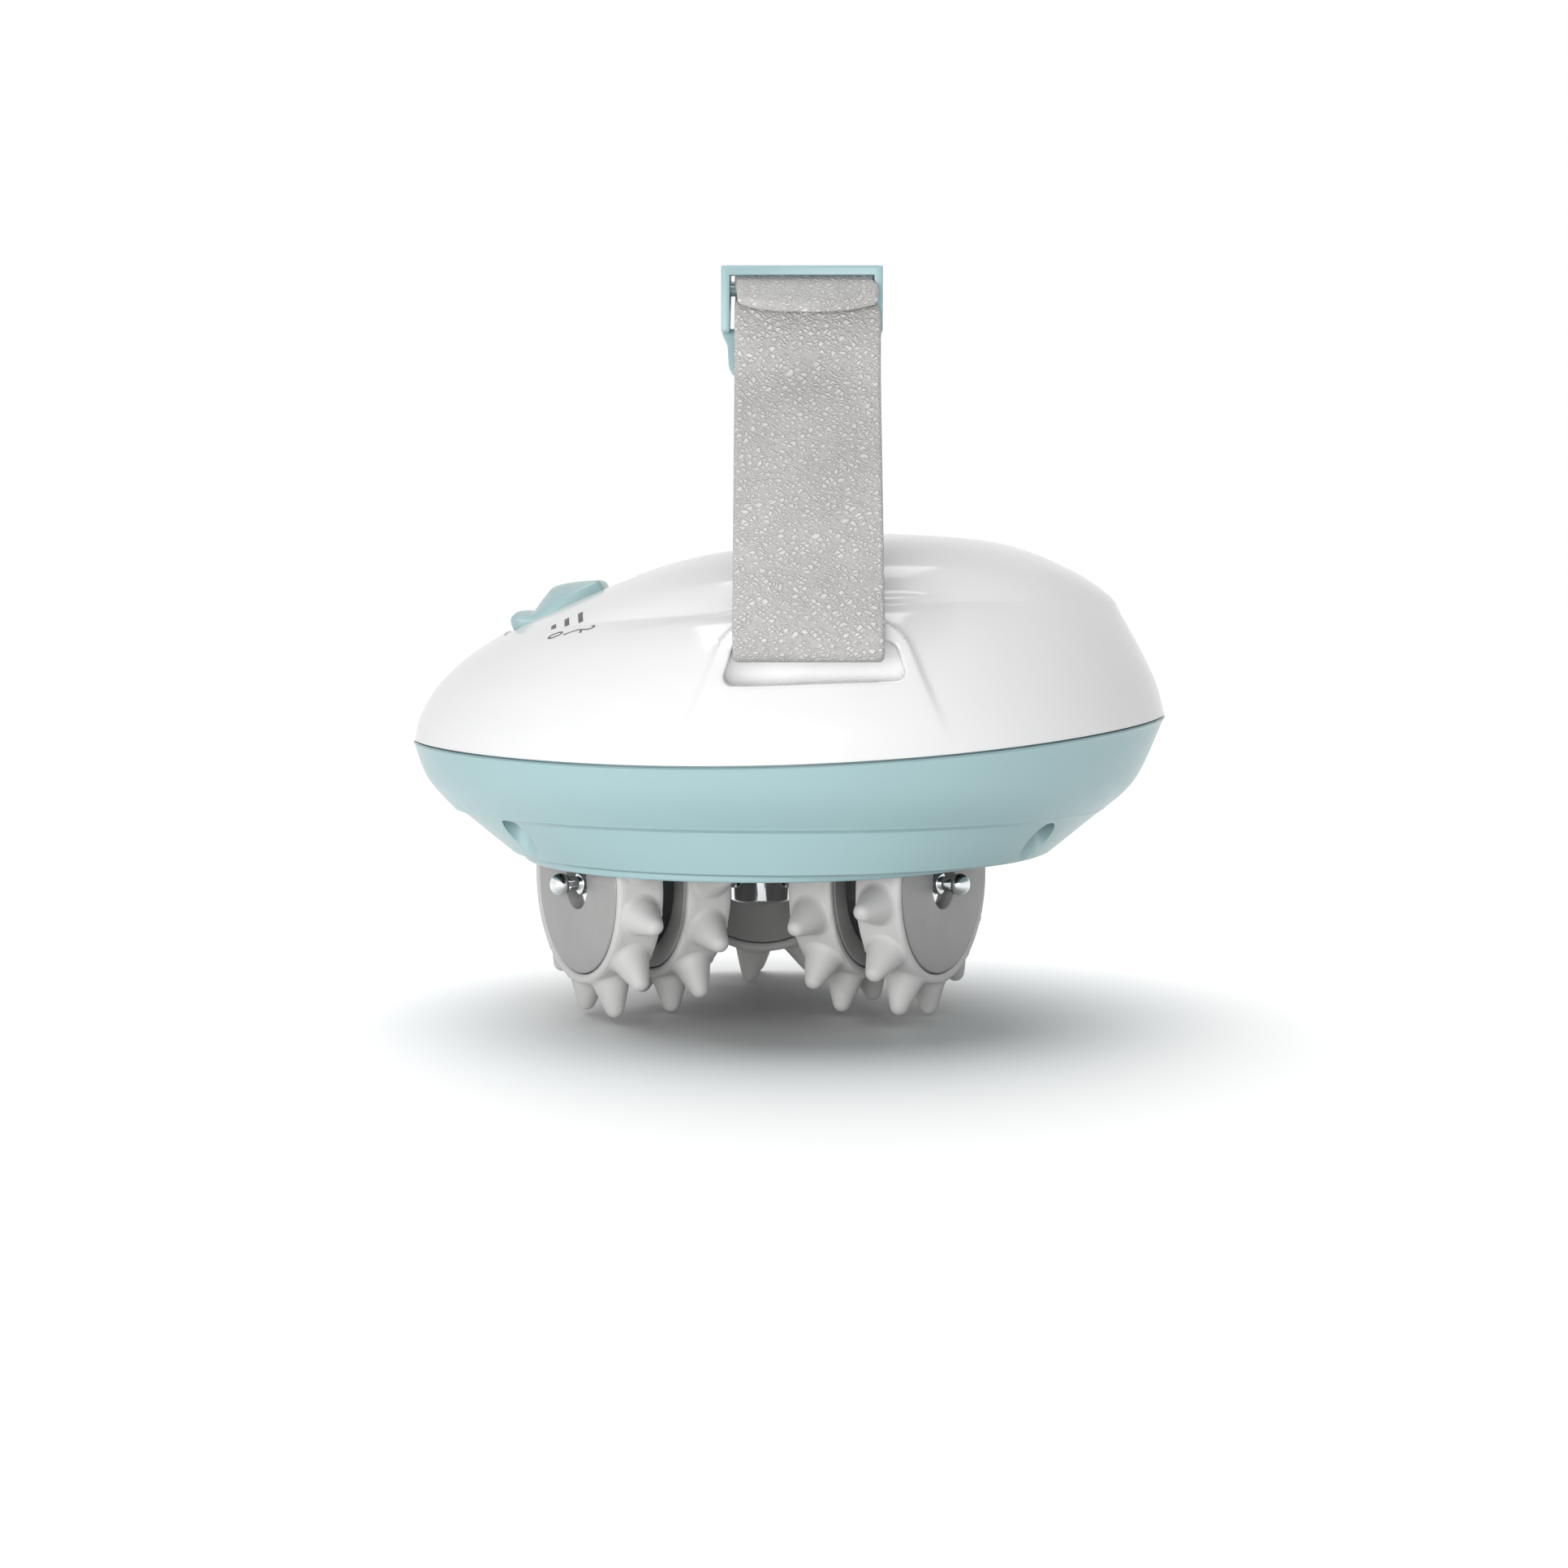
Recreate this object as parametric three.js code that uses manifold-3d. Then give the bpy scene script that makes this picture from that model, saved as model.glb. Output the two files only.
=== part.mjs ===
// Handheld electric massager: an oval two-shell body with a hand strap over it,
// a thumb switch on the front slope and a motor-driven head of nubbed rollers below.
// Millimetres, +Z up, the switch end towards -X, the tips of the lowest nubs on Z = 0.
import * as THREE from "three";
import { mergeVertices } from "three/addons/utils/BufferGeometryUtils.js";
import Module from "manifold-3d";

const wasm = await Module();
wasm.setup();

// Driving dimensions of the body
const BODY_LENGTH = 149.4;
const BODY_WIDTH = 120;
const CROWN_Z = 94;
const CROWN_X = 20;
const PARTING_FRONT_Z = 53.5;
const PARTING_SIDE_Z = 52.1;
const PARTING_REAR_Z = 58.5;
const PARTING_GAP = 0.4;
const BOWL_BOTTOM_Z = 31.2;
const STEP_Z = 40.2;
const STEP_HEIGHT = 0.8;
const UPPER_WALL = 2.4;
const LOWER_WALL = 2.2;
const LIP_HEIGHT = 1.8;
const LIP_THICKNESS = 1;
const FOOT_RIM = 2;
const FOOT_RIM_REAR = 10.2;
const BODY_SIDES = 36;
const GAP = 0.3;

// Rotating head
const HEAD_X = -5.6;
const NUB_COUNT = 12;
const NUB_TIP_RADIUS = 26.5;
const NUB_TIP_ROUND = 1.8;
const NUB_BASE_RADIUS = 3.7;
// How far the nub nearest the ground leans from plumb, on each arm's inner and outer roller
const NUB_LEANS = { far: [6, 3], left: [6, 17], right: [-13.7, -23.2] };
const TYRE_RADIUS = 19.4;
const TYRE_CHAMFER = 0.8;
const TYRE_INNER_RADIUS = 17.6;
const HUB_RADIUS = 17.35;
const ROLLER_WIDTH = 9.3;
const INNER_ROLLER_REACH = 21.8;
const OUTER_ROLLER_REACH = 36.3;
const AXLE_RADIUS = 2.2;
const AXLE_SHOULDER_RADIUS = 3.2;
const AXLE_END_REACH = 46.2;
const AXLE_START = 4;
const AXLE_GROOVE_DEPTH = 0.6;
const HUB_RECESS_RADIUS = 4.9;
const HUB_RECESS_DEPTH = 2.6;
const CLIP_THICKNESS = 0.8;
const CLIP_RADIUS = 3.9;
const CLIP_MOUTH = 2.4;
const HANGER_RADIUS = 13.5;
const SPINDLE_RADIUS = 6.3;
const SPINDLE_DROP = 6;
const NECK_RADIUS = 4;
const CARRIER_RADIUS = 44;
const CARRIER_THICKNESS = 2.3;
const CARRIER_CLEARANCE = 0.9;
const ARM_ANGLES = { far: 90, left: 210, right: 330 };

// Collar, chassis and gear train
const COLLAR_INNER_RADIUS = 46.2;
const COLLAR_WALL = 1.2;
const COLLAR_BOTTOM_Z = 29.9;
const COLLAR_BEAD = 1;
const CHASSIS_THICKNESS = 2;
const BUSH_RADIUS = 7.7;
const BUSH_FLANGE_RADIUS = 9.5;
const BUSH_FLANGE_THICKNESS = 0.8;
const GEAR_MODULE = 1.3;
const OUTPUT_TEETH = 30;
const IDLER_SMALL_TEETH = 10;
const IDLER_LARGE_TEETH = 26;
const PINION_TEETH = 8;
const OUTPUT_GEAR_THICKNESS = 5;
const IDLER_GEAR_THICKNESS = 4;
const RING_THICKNESS = 0.8;
const IDLER_PIN_RADIUS = 1.5;
const MOTOR_X = 24;
const MOTOR_RADIUS = 15.6;
const MOTOR_HEIGHT = 16;
const MOTOR_SHAFT_RADIUS = 1;
const COVER_THICKNESS = 1.8;
const POST_RADIUS = 3;
const POSTS = [[-22, -20], [28, -22], [38, 24], [-15, 24]];

// Housing screws, set in wells that open on the slanted ring of the bowl
const WELL_FRONT_ANGLE = 147.2;
const WELL_FRONT_OFFSET = 6.1;
const WELL_REAR_ANGLE = 29.1;
const WELL_REAR_OFFSET = 12.2;
const WELL_RADIUS = 3.4;
const WELL_FLOOR_Z = 43.3;
const WELL_FLOOR = 2;
const SCREW_HEAD_RADIUS = 2.8;
const SCREW_HEAD_HEIGHT = 2;
const SCREW_RADIUS = 1.2;
const SCREW_LENGTH = 14;

// Thumb switch on the front slope
const SWITCH_INSET = 32.4;
const SWITCH_Z = 78.9;
const SWITCH_SLOPE = 25;
const SWITCH_TRAVEL = 5.8;
const KNOB_WIDTH = 24;
const KNOB_LENGTH = 21.2;
const KNOB_HEIGHT = 6;
const STEM_LENGTH = 5;
const STEM_WIDTH = 4;
const STEM_DEPTH = 3;
const TONGUE_LENGTH = 3;
const TONGUE_WIDTH = 2;
const TONGUE_DEPTH = 5.5;
const SWITCH_BODY_FRONT = 9;
const SWITCH_BODY_REAR = 7;
const SWITCH_BODY_WIDTH = 9;
const SWITCH_BODY_TOP = 3.3;
const SWITCH_GROOVE_DEPTH = 6.2;
const BOARD_DROP = 9.8;
const BOARD_FRONT = 13;
const BOARD_REAR = 7;
const BOARD_WIDTH = 18;
const BOARD_THICKNESS = 1.6;
const BOARD_POST = 1.4;

// Power inlet in the rear wall
const INLET_Z = 65.5;
const INLET_INSET = 5.2;
const INLET_LENGTH = 14;
const INLET_SEAT = 3.4;
const INLET_RADIUS = 3.8;
const INLET_BORE_RADIUS = 2.75;
const INLET_PIN_RADIUS = 1;
const INLET_RECESS_RADIUS = 5;
const INLET_BOSS_WALL = 1.6;

// Strap anchors, strap and buckle
const PAD_X = 4.4;
const PAD_TOP_Z = 76;
const PAD_FOOT_Z = 57;
const PAD_TOP_HALF = 15;
const PAD_FOOT_HALF = 23.3;
const PAD_TOP_INSET = 6.3;
const PAD_CORNER = 4;
const PAD_PROUD = 1.2;
const WINDOW_BOTTOM_Z = 66.7;
const WINDOW_TOP_Z = 72.2;
const WINDOW_BOTTOM_HALF = 16.2;
const WINDOW_TOP_HALF = 14.9;
const WINDOW_CORNER = 1.6;
const SLOT_HALF = 14.4;
const BRIDGE_THICKNESS = 3;
const SLOT_DEPTH = 3.3;
const STRAP_X = 3.3;
const STRAP_WIDTH = 26.2;
const STRAP_THICKNESS = 2;
const STRAP_TOP_Z = 145.5;
const SHOULDER_Y = 31.5;
const SHOULDER_DROP = 13.3;
const ARCH_DIP = 1.8;
const SEWN_RISE = 15;
const FLAP_REACH = 6.9;
const FLAP_LEAN = 44;
const FLAP_ROUNDING = 3.9;
const BUCKLE_X = 2.3;
const BUCKLE_INNER_HALF = 13.2;
const BUCKLE_RAIL = 1.6;
const BUCKLE_BAR_RADIUS = 1;
const BUCKLE_DROP = 3.7;
const BUCKLE_HEIGHT = 12.1;
const BUCKLE_PROUD = 1.4;
const BUCKLE_FOOT = 3.4;
const MIDDLE_BAR_INSET = 3.6;
const REAR_BAR_INSET = 10;
const REAR_BAR_DROP = 2.4;
const TONGUE_LEAN = 0.33;
const BUCKLE_TONGUE_LENGTH = 8.8;
const BUCKLE_TONGUE_THICKNESS = 1.6;
const BUCKLE_TONGUE_TAPER = 1.4;
const BUCKLE_TONGUE_CORNER = 3;

const lipInset = UPPER_WALL / 2 + GAP;
const halfLength = BODY_LENGTH / 2;
const halfWidth = BODY_WIDTH / 2;
const switchX = SWITCH_INSET - halfLength;
const inletFaceX = halfLength - INLET_INSET;
const padTopY = halfWidth - PAD_TOP_INSET;
const buckleTopZ = STRAP_TOP_Z - BUCKLE_DROP;
const shoulderZ = STRAP_TOP_Z - SHOULDER_DROP;
const partingRise = { front: PARTING_FRONT_Z, side: PARTING_SIDE_Z, rear: PARTING_REAR_Z };
const deg = (d) => (d * Math.PI) / 180;

// Materials
const paint = (color, roughness, metalness = 0) =>
  new THREE.MeshStandardMaterial({ color, roughness, metalness });
const WHITE = paint(0xf2f2f2, 0.25);
const AQUA = paint(0xb7dcdd, 0.35);
const RUBBER = paint(0xb9b8b6, 0.6);
const HUB_GREY = paint(0xa3a3a1, 0.45);
const BLACK = paint(0x202122, 0.5);
const CHROME = paint(0xdadcde, 0.12, 1);
const STEEL = paint(0xaeb0b2, 0.35, 1);
const LEATHER = paint(0xc6c4c2, 0.75);
const ACETAL = paint(0xeeeade, 0.4);
const BRASS = paint(0xb9975a, 0.35, 1);
const BOARD_GREEN = paint(0x2e6b45, 0.5);
const LEAD_BLACK = paint(0x1c1c1c, 0.6);

// Solids: from three.js geometry to manifold-3d and back
function solid(geometry) {
  const bare = geometry.clone();
  for (const name of Object.keys(bare.attributes)) {
    if (name !== "position") bare.deleteAttribute(name);
  }
  const merged = mergeVertices(bare, 1e-4);
  const faces = [];
  const index = merged.index.array;
  for (let i = 0; i < index.length; i += 3) {
    const [a, b, c] = [index[i], index[i + 1], index[i + 2]];
    if (a !== b && b !== c && c !== a) faces.push(a, b, c);
  }
  const vertProperties = merged.attributes.position.array;
  const build = (list) =>
    new wasm.Manifold(new wasm.Mesh({ numProp: 3, vertProperties, triVerts: new Uint32Array(list) }));
  const made = build(faces);
  return made.volume() > 0 ? made : build(faces.reverse());
}

function geometryOf(made) {
  const mesh = made.getMesh();
  const geometry = new THREE.BufferGeometry();
  geometry.setAttribute("position", new THREE.BufferAttribute(new Float32Array(mesh.vertProperties), 3));
  geometry.setIndex(new THREE.BufferAttribute(new Uint32Array(mesh.triVerts), 1));
  const flat = geometry.toNonIndexed();
  flat.computeVertexNormals();
  return flat;
}

const massager = new THREE.Group();
function place(name, made, material, parent = massager) {
  const mesh = new THREE.Mesh(made.isBufferGeometry ? made : geometryOf(made), material);
  mesh.name = name;
  parent.add(mesh);
  return mesh;
}

// Basic forms
function cylinder(radius, z0, z1, x = 0, y = 0, sides = 16) {
  const form = new THREE.CylinderGeometry(radius, radius, z1 - z0, sides);
  return solid(form.rotateX(Math.PI / 2).translate(x, y, (z0 + z1) / 2));
}

function cylinderAlongX(radius, x0, x1, z, sides = 16) {
  const form = new THREE.CylinderGeometry(radius, radius, x1 - x0, sides);
  return solid(form.rotateZ(-Math.PI / 2).translate((x0 + x1) / 2, 0, z));
}

function box(x0, x1, y0, y1, z0, z1) {
  const form = new THREE.BoxGeometry(x1 - x0, y1 - y0, z1 - z0);
  return solid(form.translate((x0 + x1) / 2, (y0 + y1) / 2, (z0 + z1) / 2));
}

function lathe(profile, sides) {
  const points = profile.map(([r, w]) => new THREE.Vector2(r, w));
  if (profile[0][0] > 0) points.push(points[0].clone());
  return new THREE.LatheGeometry(points, sides);
}
const latheZ = (profile, sides) => solid(lathe(profile, sides).rotateX(Math.PI / 2));
const latheX = (profile, sides) => solid(lathe(profile, sides).rotateZ(-Math.PI / 2));

// An outline in one plane, pushed along the third axis from one coordinate to another
function prism(shape, plane, from, to, curveSegments = 4) {
  const form = new THREE.ExtrudeGeometry(shape, { depth: to - from, bevelEnabled: false, curveSegments });
  const axes = {
    xy: [new THREE.Vector3(1, 0, 0), new THREE.Vector3(0, 1, 0), new THREE.Vector3(0, 0, 1)],
    yz: [new THREE.Vector3(0, 1, 0), new THREE.Vector3(0, 0, 1), new THREE.Vector3(1, 0, 0)],
    xz: [new THREE.Vector3(1, 0, 0), new THREE.Vector3(0, 0, 1), new THREE.Vector3(0, -1, 0)],
  }[plane];
  form.applyMatrix4(new THREE.Matrix4().makeBasis(...axes));
  const start = axes[2].clone().multiplyScalar(plane === "xz" ? -to : from);
  return solid(form.translate(start.x, start.y, start.z));
}

const outline = (points) => new THREE.Shape(points.map(([u, v]) => new THREE.Vector2(u, v)));

// A polygon with each corner replaced by an arc-like curve
function roundedOutline(points, radius) {
  const shape = new THREE.Shape();
  points.forEach(([u, v], i) => {
    const corner = new THREE.Vector2(u, v);
    const before = new THREE.Vector2(...points.at(i - 1));
    const after = new THREE.Vector2(...points[(i + 1) % points.length]);
    const towards = (other) => {
      const side = other.clone().sub(corner);
      return side.setLength(Math.min(radius, side.length() * 0.45)).add(corner);
    };
    const start = towards(before);
    const end = towards(after);
    if (i === 0) shape.moveTo(start.x, start.y);
    else shape.lineTo(start.x, start.y);
    shape.quadraticCurveTo(corner.x, corner.y, end.x, end.y);
  });
  return shape;
}

// Points on an arc, from one angle to another
function around([u, v], radius, from, to, count) {
  const points = [];
  for (let i = 0; i < count; i++) {
    const angle = deg(from + ((to - from) * i) / (count - 1));
    points.push([u + radius * Math.cos(angle), v + radius * Math.sin(angle)]);
  }
  return points;
}

// A band of even thickness along a route of points in a plane
function bandOutline(points, thickness, steps) {
  const through = points.map(([u, v]) => new THREE.Vector3(u, v, 0));
  const curve = new THREE.CatmullRomCurve3(through, false, "centripetal");
  const left = [];
  const right = [];
  for (let i = 0; i <= steps; i++) {
    const at = curve.getPointAt(i / steps);
    const along = curve.getTangentAt(i / steps);
    const off = new THREE.Vector3(-along.y, along.x, 0).multiplyScalar(thickness / 2);
    left.push([at.x + off.x, at.y + off.y]);
    right.unshift([at.x - off.x, at.y - off.y]);
  }
  return outline([...left, ...right]);
}

// Body surface. Each level of the body is an oval in plan, given by its reach towards the front,
// the rear and the sides, with its own height at each of those places.
function ring(level, inset = 0, sink = 0) {
  const front = -(level.front - inset);
  const rear = level.rear - inset;
  const middle = (front + rear) / 2;
  const reach = (rear - front) / 2;
  const points = [];
  for (let k = 0; k < BODY_SIDES; k++) {
    const angle = (2 * Math.PI * k) / BODY_SIDES;
    const c = Math.cos(angle);
    const tilt = ((level.zRear - level.zFront) / 2) * c;
    const bow = ((level.zRear + level.zFront) / 2 - level.zSide) * c * c;
    const z = level.zSide + tilt + bow - sink;
    points.push([middle + reach * c, (level.side - inset) * Math.sin(angle), z]);
  }
  return points;
}

function circle(x, radius, z) {
  const points = [];
  for (let k = 0; k < BODY_SIDES; k++) {
    const angle = (2 * Math.PI * k) / BODY_SIDES;
    points.push([x + radius * Math.cos(angle), radius * Math.sin(angle), z]);
  }
  return points;
}

// A skin over rings of equal count; a single point is a pole, and a closed loft joins last to first
function loft(rings, closed = false, count = BODY_SIDES) {
  const positions = [];
  const first = rings.map((r) => {
    const start = positions.length / 3;
    r.forEach((p) => positions.push(...p));
    return start;
  });
  const at = (i, k) => first[i] + (rings[i].length === 1 ? 0 : k % count);
  const faces = [];
  const spans = closed ? rings.length : rings.length - 1;
  for (let i = 0; i < spans; i++) {
    const next = (i + 1) % rings.length;
    for (let k = 0; k < count; k++) {
      if (rings[i].length > 1) faces.push(at(i, k), at(i, k + 1), at(next, k + 1));
      if (rings[next].length > 1) faces.push(at(i, k), at(next, k + 1), at(next, k));
    }
  }
  const form = new THREE.BufferGeometry();
  form.setAttribute("position", new THREE.Float32BufferAttribute(positions, 3));
  form.setIndex(faces);
  return solid(form);
}

// Shares of the half length, half width and rise of the upper shell at each level
const upperLevel = (front, rear, side, liftFront, liftSide, liftRear) => ({
  front: front * halfLength,
  rear: rear * halfLength,
  side: side * halfWidth,
  zFront: partingRise.front + liftFront * (CROWN_Z - partingRise.front),
  zSide: partingRise.side + liftSide * (CROWN_Z - partingRise.side),
  zRear: partingRise.rear + liftRear * (CROWN_Z - partingRise.rear),
});
const flankLevels = [
  upperLevel(1, 1, 1, 0, 0, 0),
  upperLevel(0.981, 0.977, 0.98, 0.116, 0.155, 0.163),
  upperLevel(0.932, 0.945, 0.927, 0.264, 0.322, 0.313),
  upperLevel(0.857, 0.908, 0.843, 0.395, 0.484, 0.459),
  upperLevel(0.798, 0.882, 0.757, 0.469, 0.599, 0.555),
  upperLevel(0.756, 0.866, 0.687, 0.516, 0.652, 0.623),
];
const crownLevels = [
  flankLevels.at(-1),
  upperLevel(0.696, 0.835, 0.657, 0.57, 0.733, 0.682),
  upperLevel(0.582, 0.763, 0.603, 0.664, 0.819, 0.78),
  upperLevel(0.418, 0.643, 0.475, 0.788, 0.905, 0.893),
  upperLevel(0.187, 0.509, 0.29, 0.904, 0.962, 0.963),
];
const crownPoint = (sink = 0) => [[CROWN_X, 0, CROWN_Z - sink]];
const upperLevels = [...flankLevels, ...crownLevels.slice(1)];

// Levels of the lower shell: level rings, each at shares of the way from the foot, which keeps
// a rim round the collar's hole, out to the parting line
const collarRadius = COLLAR_INNER_RADIUS + COLLAR_WALL;
const foot = {
  front: collarRadius - HEAD_X + FOOT_RIM,
  rear: collarRadius + HEAD_X + FOOT_RIM_REAR,
  side: collarRadius + FOOT_RIM,
};
const lowerLevel = (front, rear, side, z) => ({
  front: foot.front + front * (halfLength - foot.front),
  rear: foot.rear + rear * (halfLength - foot.rear),
  side: foot.side + side * (halfWidth - foot.side),
  zFront: z,
  zSide: z,
  zRear: z,
});
const bilgeZ = (PARTING_SIDE_Z + STEP_Z) / 2;
const lowerLevels = [
  lowerLevel(0, 0, 0, BOWL_BOTTOM_Z),
  lowerLevel(0.52, 0.45, 0.21, STEP_Z - STEP_HEIGHT),
  lowerLevel(0.616, 0.502, 0.343, STEP_Z),
  lowerLevel(0.869, 0.762, 0.762, bilgeZ),
  flankLevels[0],
];

// Heights that stack up from the ground through the head and the gear train
const nubPitch = 360 / NUB_COUNT;
const fromPlumb = (lean) => Math.abs(lean - nubPitch * Math.round(lean / nubPitch));
const leastLean = Math.min(...Object.values(NUB_LEANS).flat().map(fromPlumb));
const axleZ = NUB_TIP_RADIUS * Math.cos(deg(leastLean));
const carrierBottomZ = axleZ + NUB_TIP_RADIUS + CARRIER_CLEARANCE;
const carrierTopZ = carrierBottomZ + CARRIER_THICKNESS;
const flangeZ = carrierTopZ + GAP;
const collarTopZ = flangeZ + BUSH_FLANGE_THICKNESS;
const chassisZ = collarTopZ + GAP;
const chassisTopZ = chassisZ + CHASSIS_THICKNESS;
const outputGearZ = chassisTopZ + 2 * GAP;
const ringZ = outputGearZ + OUTPUT_GEAR_THICKNESS + GAP;
const idlerGearZ = ringZ + RING_THICKNESS + GAP;
const coverZ = idlerGearZ + IDLER_GEAR_THICKNESS + 2 * GAP;
const coverTopZ = coverZ + COVER_THICKNESS;
const neckTopZ = ringZ + 2 * RING_THICKNESS;
const chassisRadius = collarRadius + COLLAR_WALL;

// Middles of the four wells, each at an angle round the head and a distance outside the collar
const wells = [
  [-WELL_FRONT_ANGLE, WELL_FRONT_OFFSET],
  [WELL_FRONT_ANGLE, WELL_FRONT_OFFSET],
  [-WELL_REAR_ANGLE, WELL_REAR_OFFSET],
  [WELL_REAR_ANGLE, WELL_REAR_OFFSET],
].map(([angle, offset]) => {
  const reach = collarRadius + offset;
  return [HEAD_X + reach * Math.cos(deg(angle)), reach * Math.sin(deg(angle))];
});

// Moves a solid made around the switch's own origin onto the front slope
function onSlope(made) {
  const c = Math.cos(deg(SWITCH_SLOPE));
  const s = Math.sin(deg(SWITCH_SLOPE));
  return made.transform([c, 0, s, 0, 0, 1, 0, 0, -s, 0, c, 0, switchX, 0, SWITCH_Z, 1]);
}

// Strap anchor: a proud pad on the flank with a window, and a bridge left standing above it
const bridgeBackY = padTopY - BRIDGE_THICKNESS;
const slotBackY = bridgeBackY - SLOT_DEPTH;

function anchorPad(cavity) {
  const face = roundedOutline(
    [
      [PAD_X - PAD_FOOT_HALF, PAD_FOOT_Z],
      [PAD_X + PAD_FOOT_HALF, PAD_FOOT_Z],
      [PAD_X + PAD_TOP_HALF, PAD_TOP_Z],
      [PAD_X - PAD_TOP_HALF, PAD_TOP_Z],
    ],
    PAD_CORNER,
  );
  // The face follows the flank: level with it at the foot, then further and further out
  const reachTop = [3, 4].map((i) => padTopY - flankLevels[i].side);
  const standOff = [0, PAD_PROUD / 4, PAD_PROUD, ...reachTop];
  const skin = standOff.map((out, i) => ring(flankLevels[i], -out));
  const envelope = loft([[[0, 0, PAD_FOOT_Z - 12]], ...skin, [[0, 0, CROWN_Z]]]);
  const linerY = slotBackY - UPPER_WALL / 2;
  const block = prism(face, "xz", -halfWidth, -linerY).intersect(envelope);
  const liner = box(
    PAD_X - WINDOW_BOTTOM_HALF - UPPER_WALL,
    PAD_X + WINDOW_BOTTOM_HALF + UPPER_WALL,
    -slotBackY - 1,
    -linerY,
    WINDOW_BOTTOM_Z - UPPER_WALL,
    PAD_TOP_Z,
  );
  return block.subtract(cavity).add(liner);
}

function anchorCut() {
  const top = WINDOW_TOP_Z;
  const opening = roundedOutline(
    [
      [PAD_X - WINDOW_BOTTOM_HALF, WINDOW_BOTTOM_Z],
      [PAD_X + WINDOW_BOTTOM_HALF, WINDOW_BOTTOM_Z],
      [PAD_X + WINDOW_TOP_HALF, top],
      [PAD_X - WINDOW_TOP_HALF, top],
    ],
    WINDOW_CORNER,
  );
  const mouth = prism(opening, "xz", -halfWidth - 2, -slotBackY);
  const slot = box(PAD_X - SLOT_HALF, PAD_X + SLOT_HALF, -bridgeBackY, -slotBackY, top - 2, CROWN_Z);
  return mouth.add(slot);
}

const mirrorY = (made) => made.transform([1, 0, 0, 0, 0, -1, 0, 0, 0, 0, 1, 0, 0, 0, 0, 1]);

// Upper shell
function upperHousing() {
  const rim = PARTING_GAP / 2;
  const last = upperLevels.length - 1;
  const outerRings = upperLevels.map((level) => ring(level));
  outerRings[0] = ring(flankLevels[0], 0, -rim);
  const innerRings = upperLevels.map((level, i) => ring(level, UPPER_WALL, (UPPER_WALL * i) / last));
  innerRings[0] = ring(flankLevels[0], UPPER_WALL, -rim);
  const below = (inset) => ring(flankLevels[0], inset, PARTING_SIDE_Z - WELL_FLOOR_Z);
  const middleAt = (z) => [[0, 0, z]];
  const filled = loft([middleAt(0), below(UPPER_WALL), ...outerRings, crownPoint()]);
  const cavity = loft([middleAt(0), below(UPPER_WALL), ...innerRings, crownPoint(UPPER_WALL)]);
  const down = [...innerRings].reverse();
  let shell = loft([crownPoint(UPPER_WALL), ...down, ...outerRings, crownPoint()]);
  const pad = anchorPad(cavity);
  shell = shell.add(pad).add(mirrorY(pad));
  const cut = anchorCut();
  shell = shell.subtract(cut).subtract(mirrorY(cut));

  // Screw bosses down to the floors of the wells
  const bossZ = WELL_FLOOR_Z + WELL_FLOOR + GAP;
  for (const [x, y] of wells) {
    shell = shell.add(cylinder(WELL_RADIUS, bossZ, CROWN_Z, x, y, 12).intersect(filled));
    shell = shell.subtract(cylinder(SCREW_RADIUS + GAP, bossZ - 1, bossZ + SCREW_LENGTH, x, y, 8));
  }

  // Flat land, slot and board posts of the thumb switch
  const landFront = KNOB_LENGTH / 2 + SWITCH_TRAVEL / 2 + 2 * GAP;
  const landHalf = KNOB_WIDTH / 2 + GAP;
  const backing = onSlope(box(-landFront - 1, landFront + 1, -landHalf - 1, landHalf + 1, -UPPER_WALL, 4));
  shell = shell.add(backing.intersect(filled));
  shell = shell.subtract(onSlope(box(-landFront, landFront, -landHalf, landHalf, 0, 20)));
  const slotReach = SWITCH_TRAVEL / 2 + STEM_LENGTH / 2 + GAP;
  shell = shell.subtract(
    onSlope(box(-slotReach, slotReach, -STEM_WIDTH / 2 - GAP, STEM_WIDTH / 2 + GAP, -UPPER_WALL - 1, 1)),
  );
  for (const x of [BOARD_POST - BOARD_FRONT, BOARD_REAR - BOARD_POST]) {
    for (const side of [-1, 1]) {
      const y = side * (BOARD_WIDTH / 2 - BOARD_POST);
      shell = shell.add(onSlope(cylinder(BOARD_POST, GAP - BOARD_DROP, -UPPER_WALL / 2, x, y, 10)));
    }
  }

  // Rear boss, recess and hole of the power inlet
  const bossRadius = INLET_RECESS_RADIUS + INLET_BOSS_WALL;
  const boss = cylinderAlongX(bossRadius, inletFaceX - INLET_SEAT, halfLength, INLET_Z);
  shell = shell.add(boss.intersect(filled));
  shell = shell.subtract(cylinderAlongX(INLET_RECESS_RADIUS, inletFaceX, halfLength + 2, INLET_Z));
  shell = shell.subtract(cylinderAlongX(INLET_RADIUS + GAP, inletFaceX - 10, inletFaceX + 2, INLET_Z));

  // Rebate all round the rim for the lip of the lower shell
  const rebate = (inset, lift) => ring(flankLevels[0], inset, -lift);
  const deep = LIP_HEIGHT + 2 * rim;
  const wide = lipInset + LIP_THICKNESS + GAP;
  const rebateRings = [
    rebate(lipInset - GAP, -1),
    rebate(lipInset - GAP, deep),
    rebate(wide, deep),
    rebate(wide, -1),
  ];
  return shell.subtract(loft(rebateRings, true));
}

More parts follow.
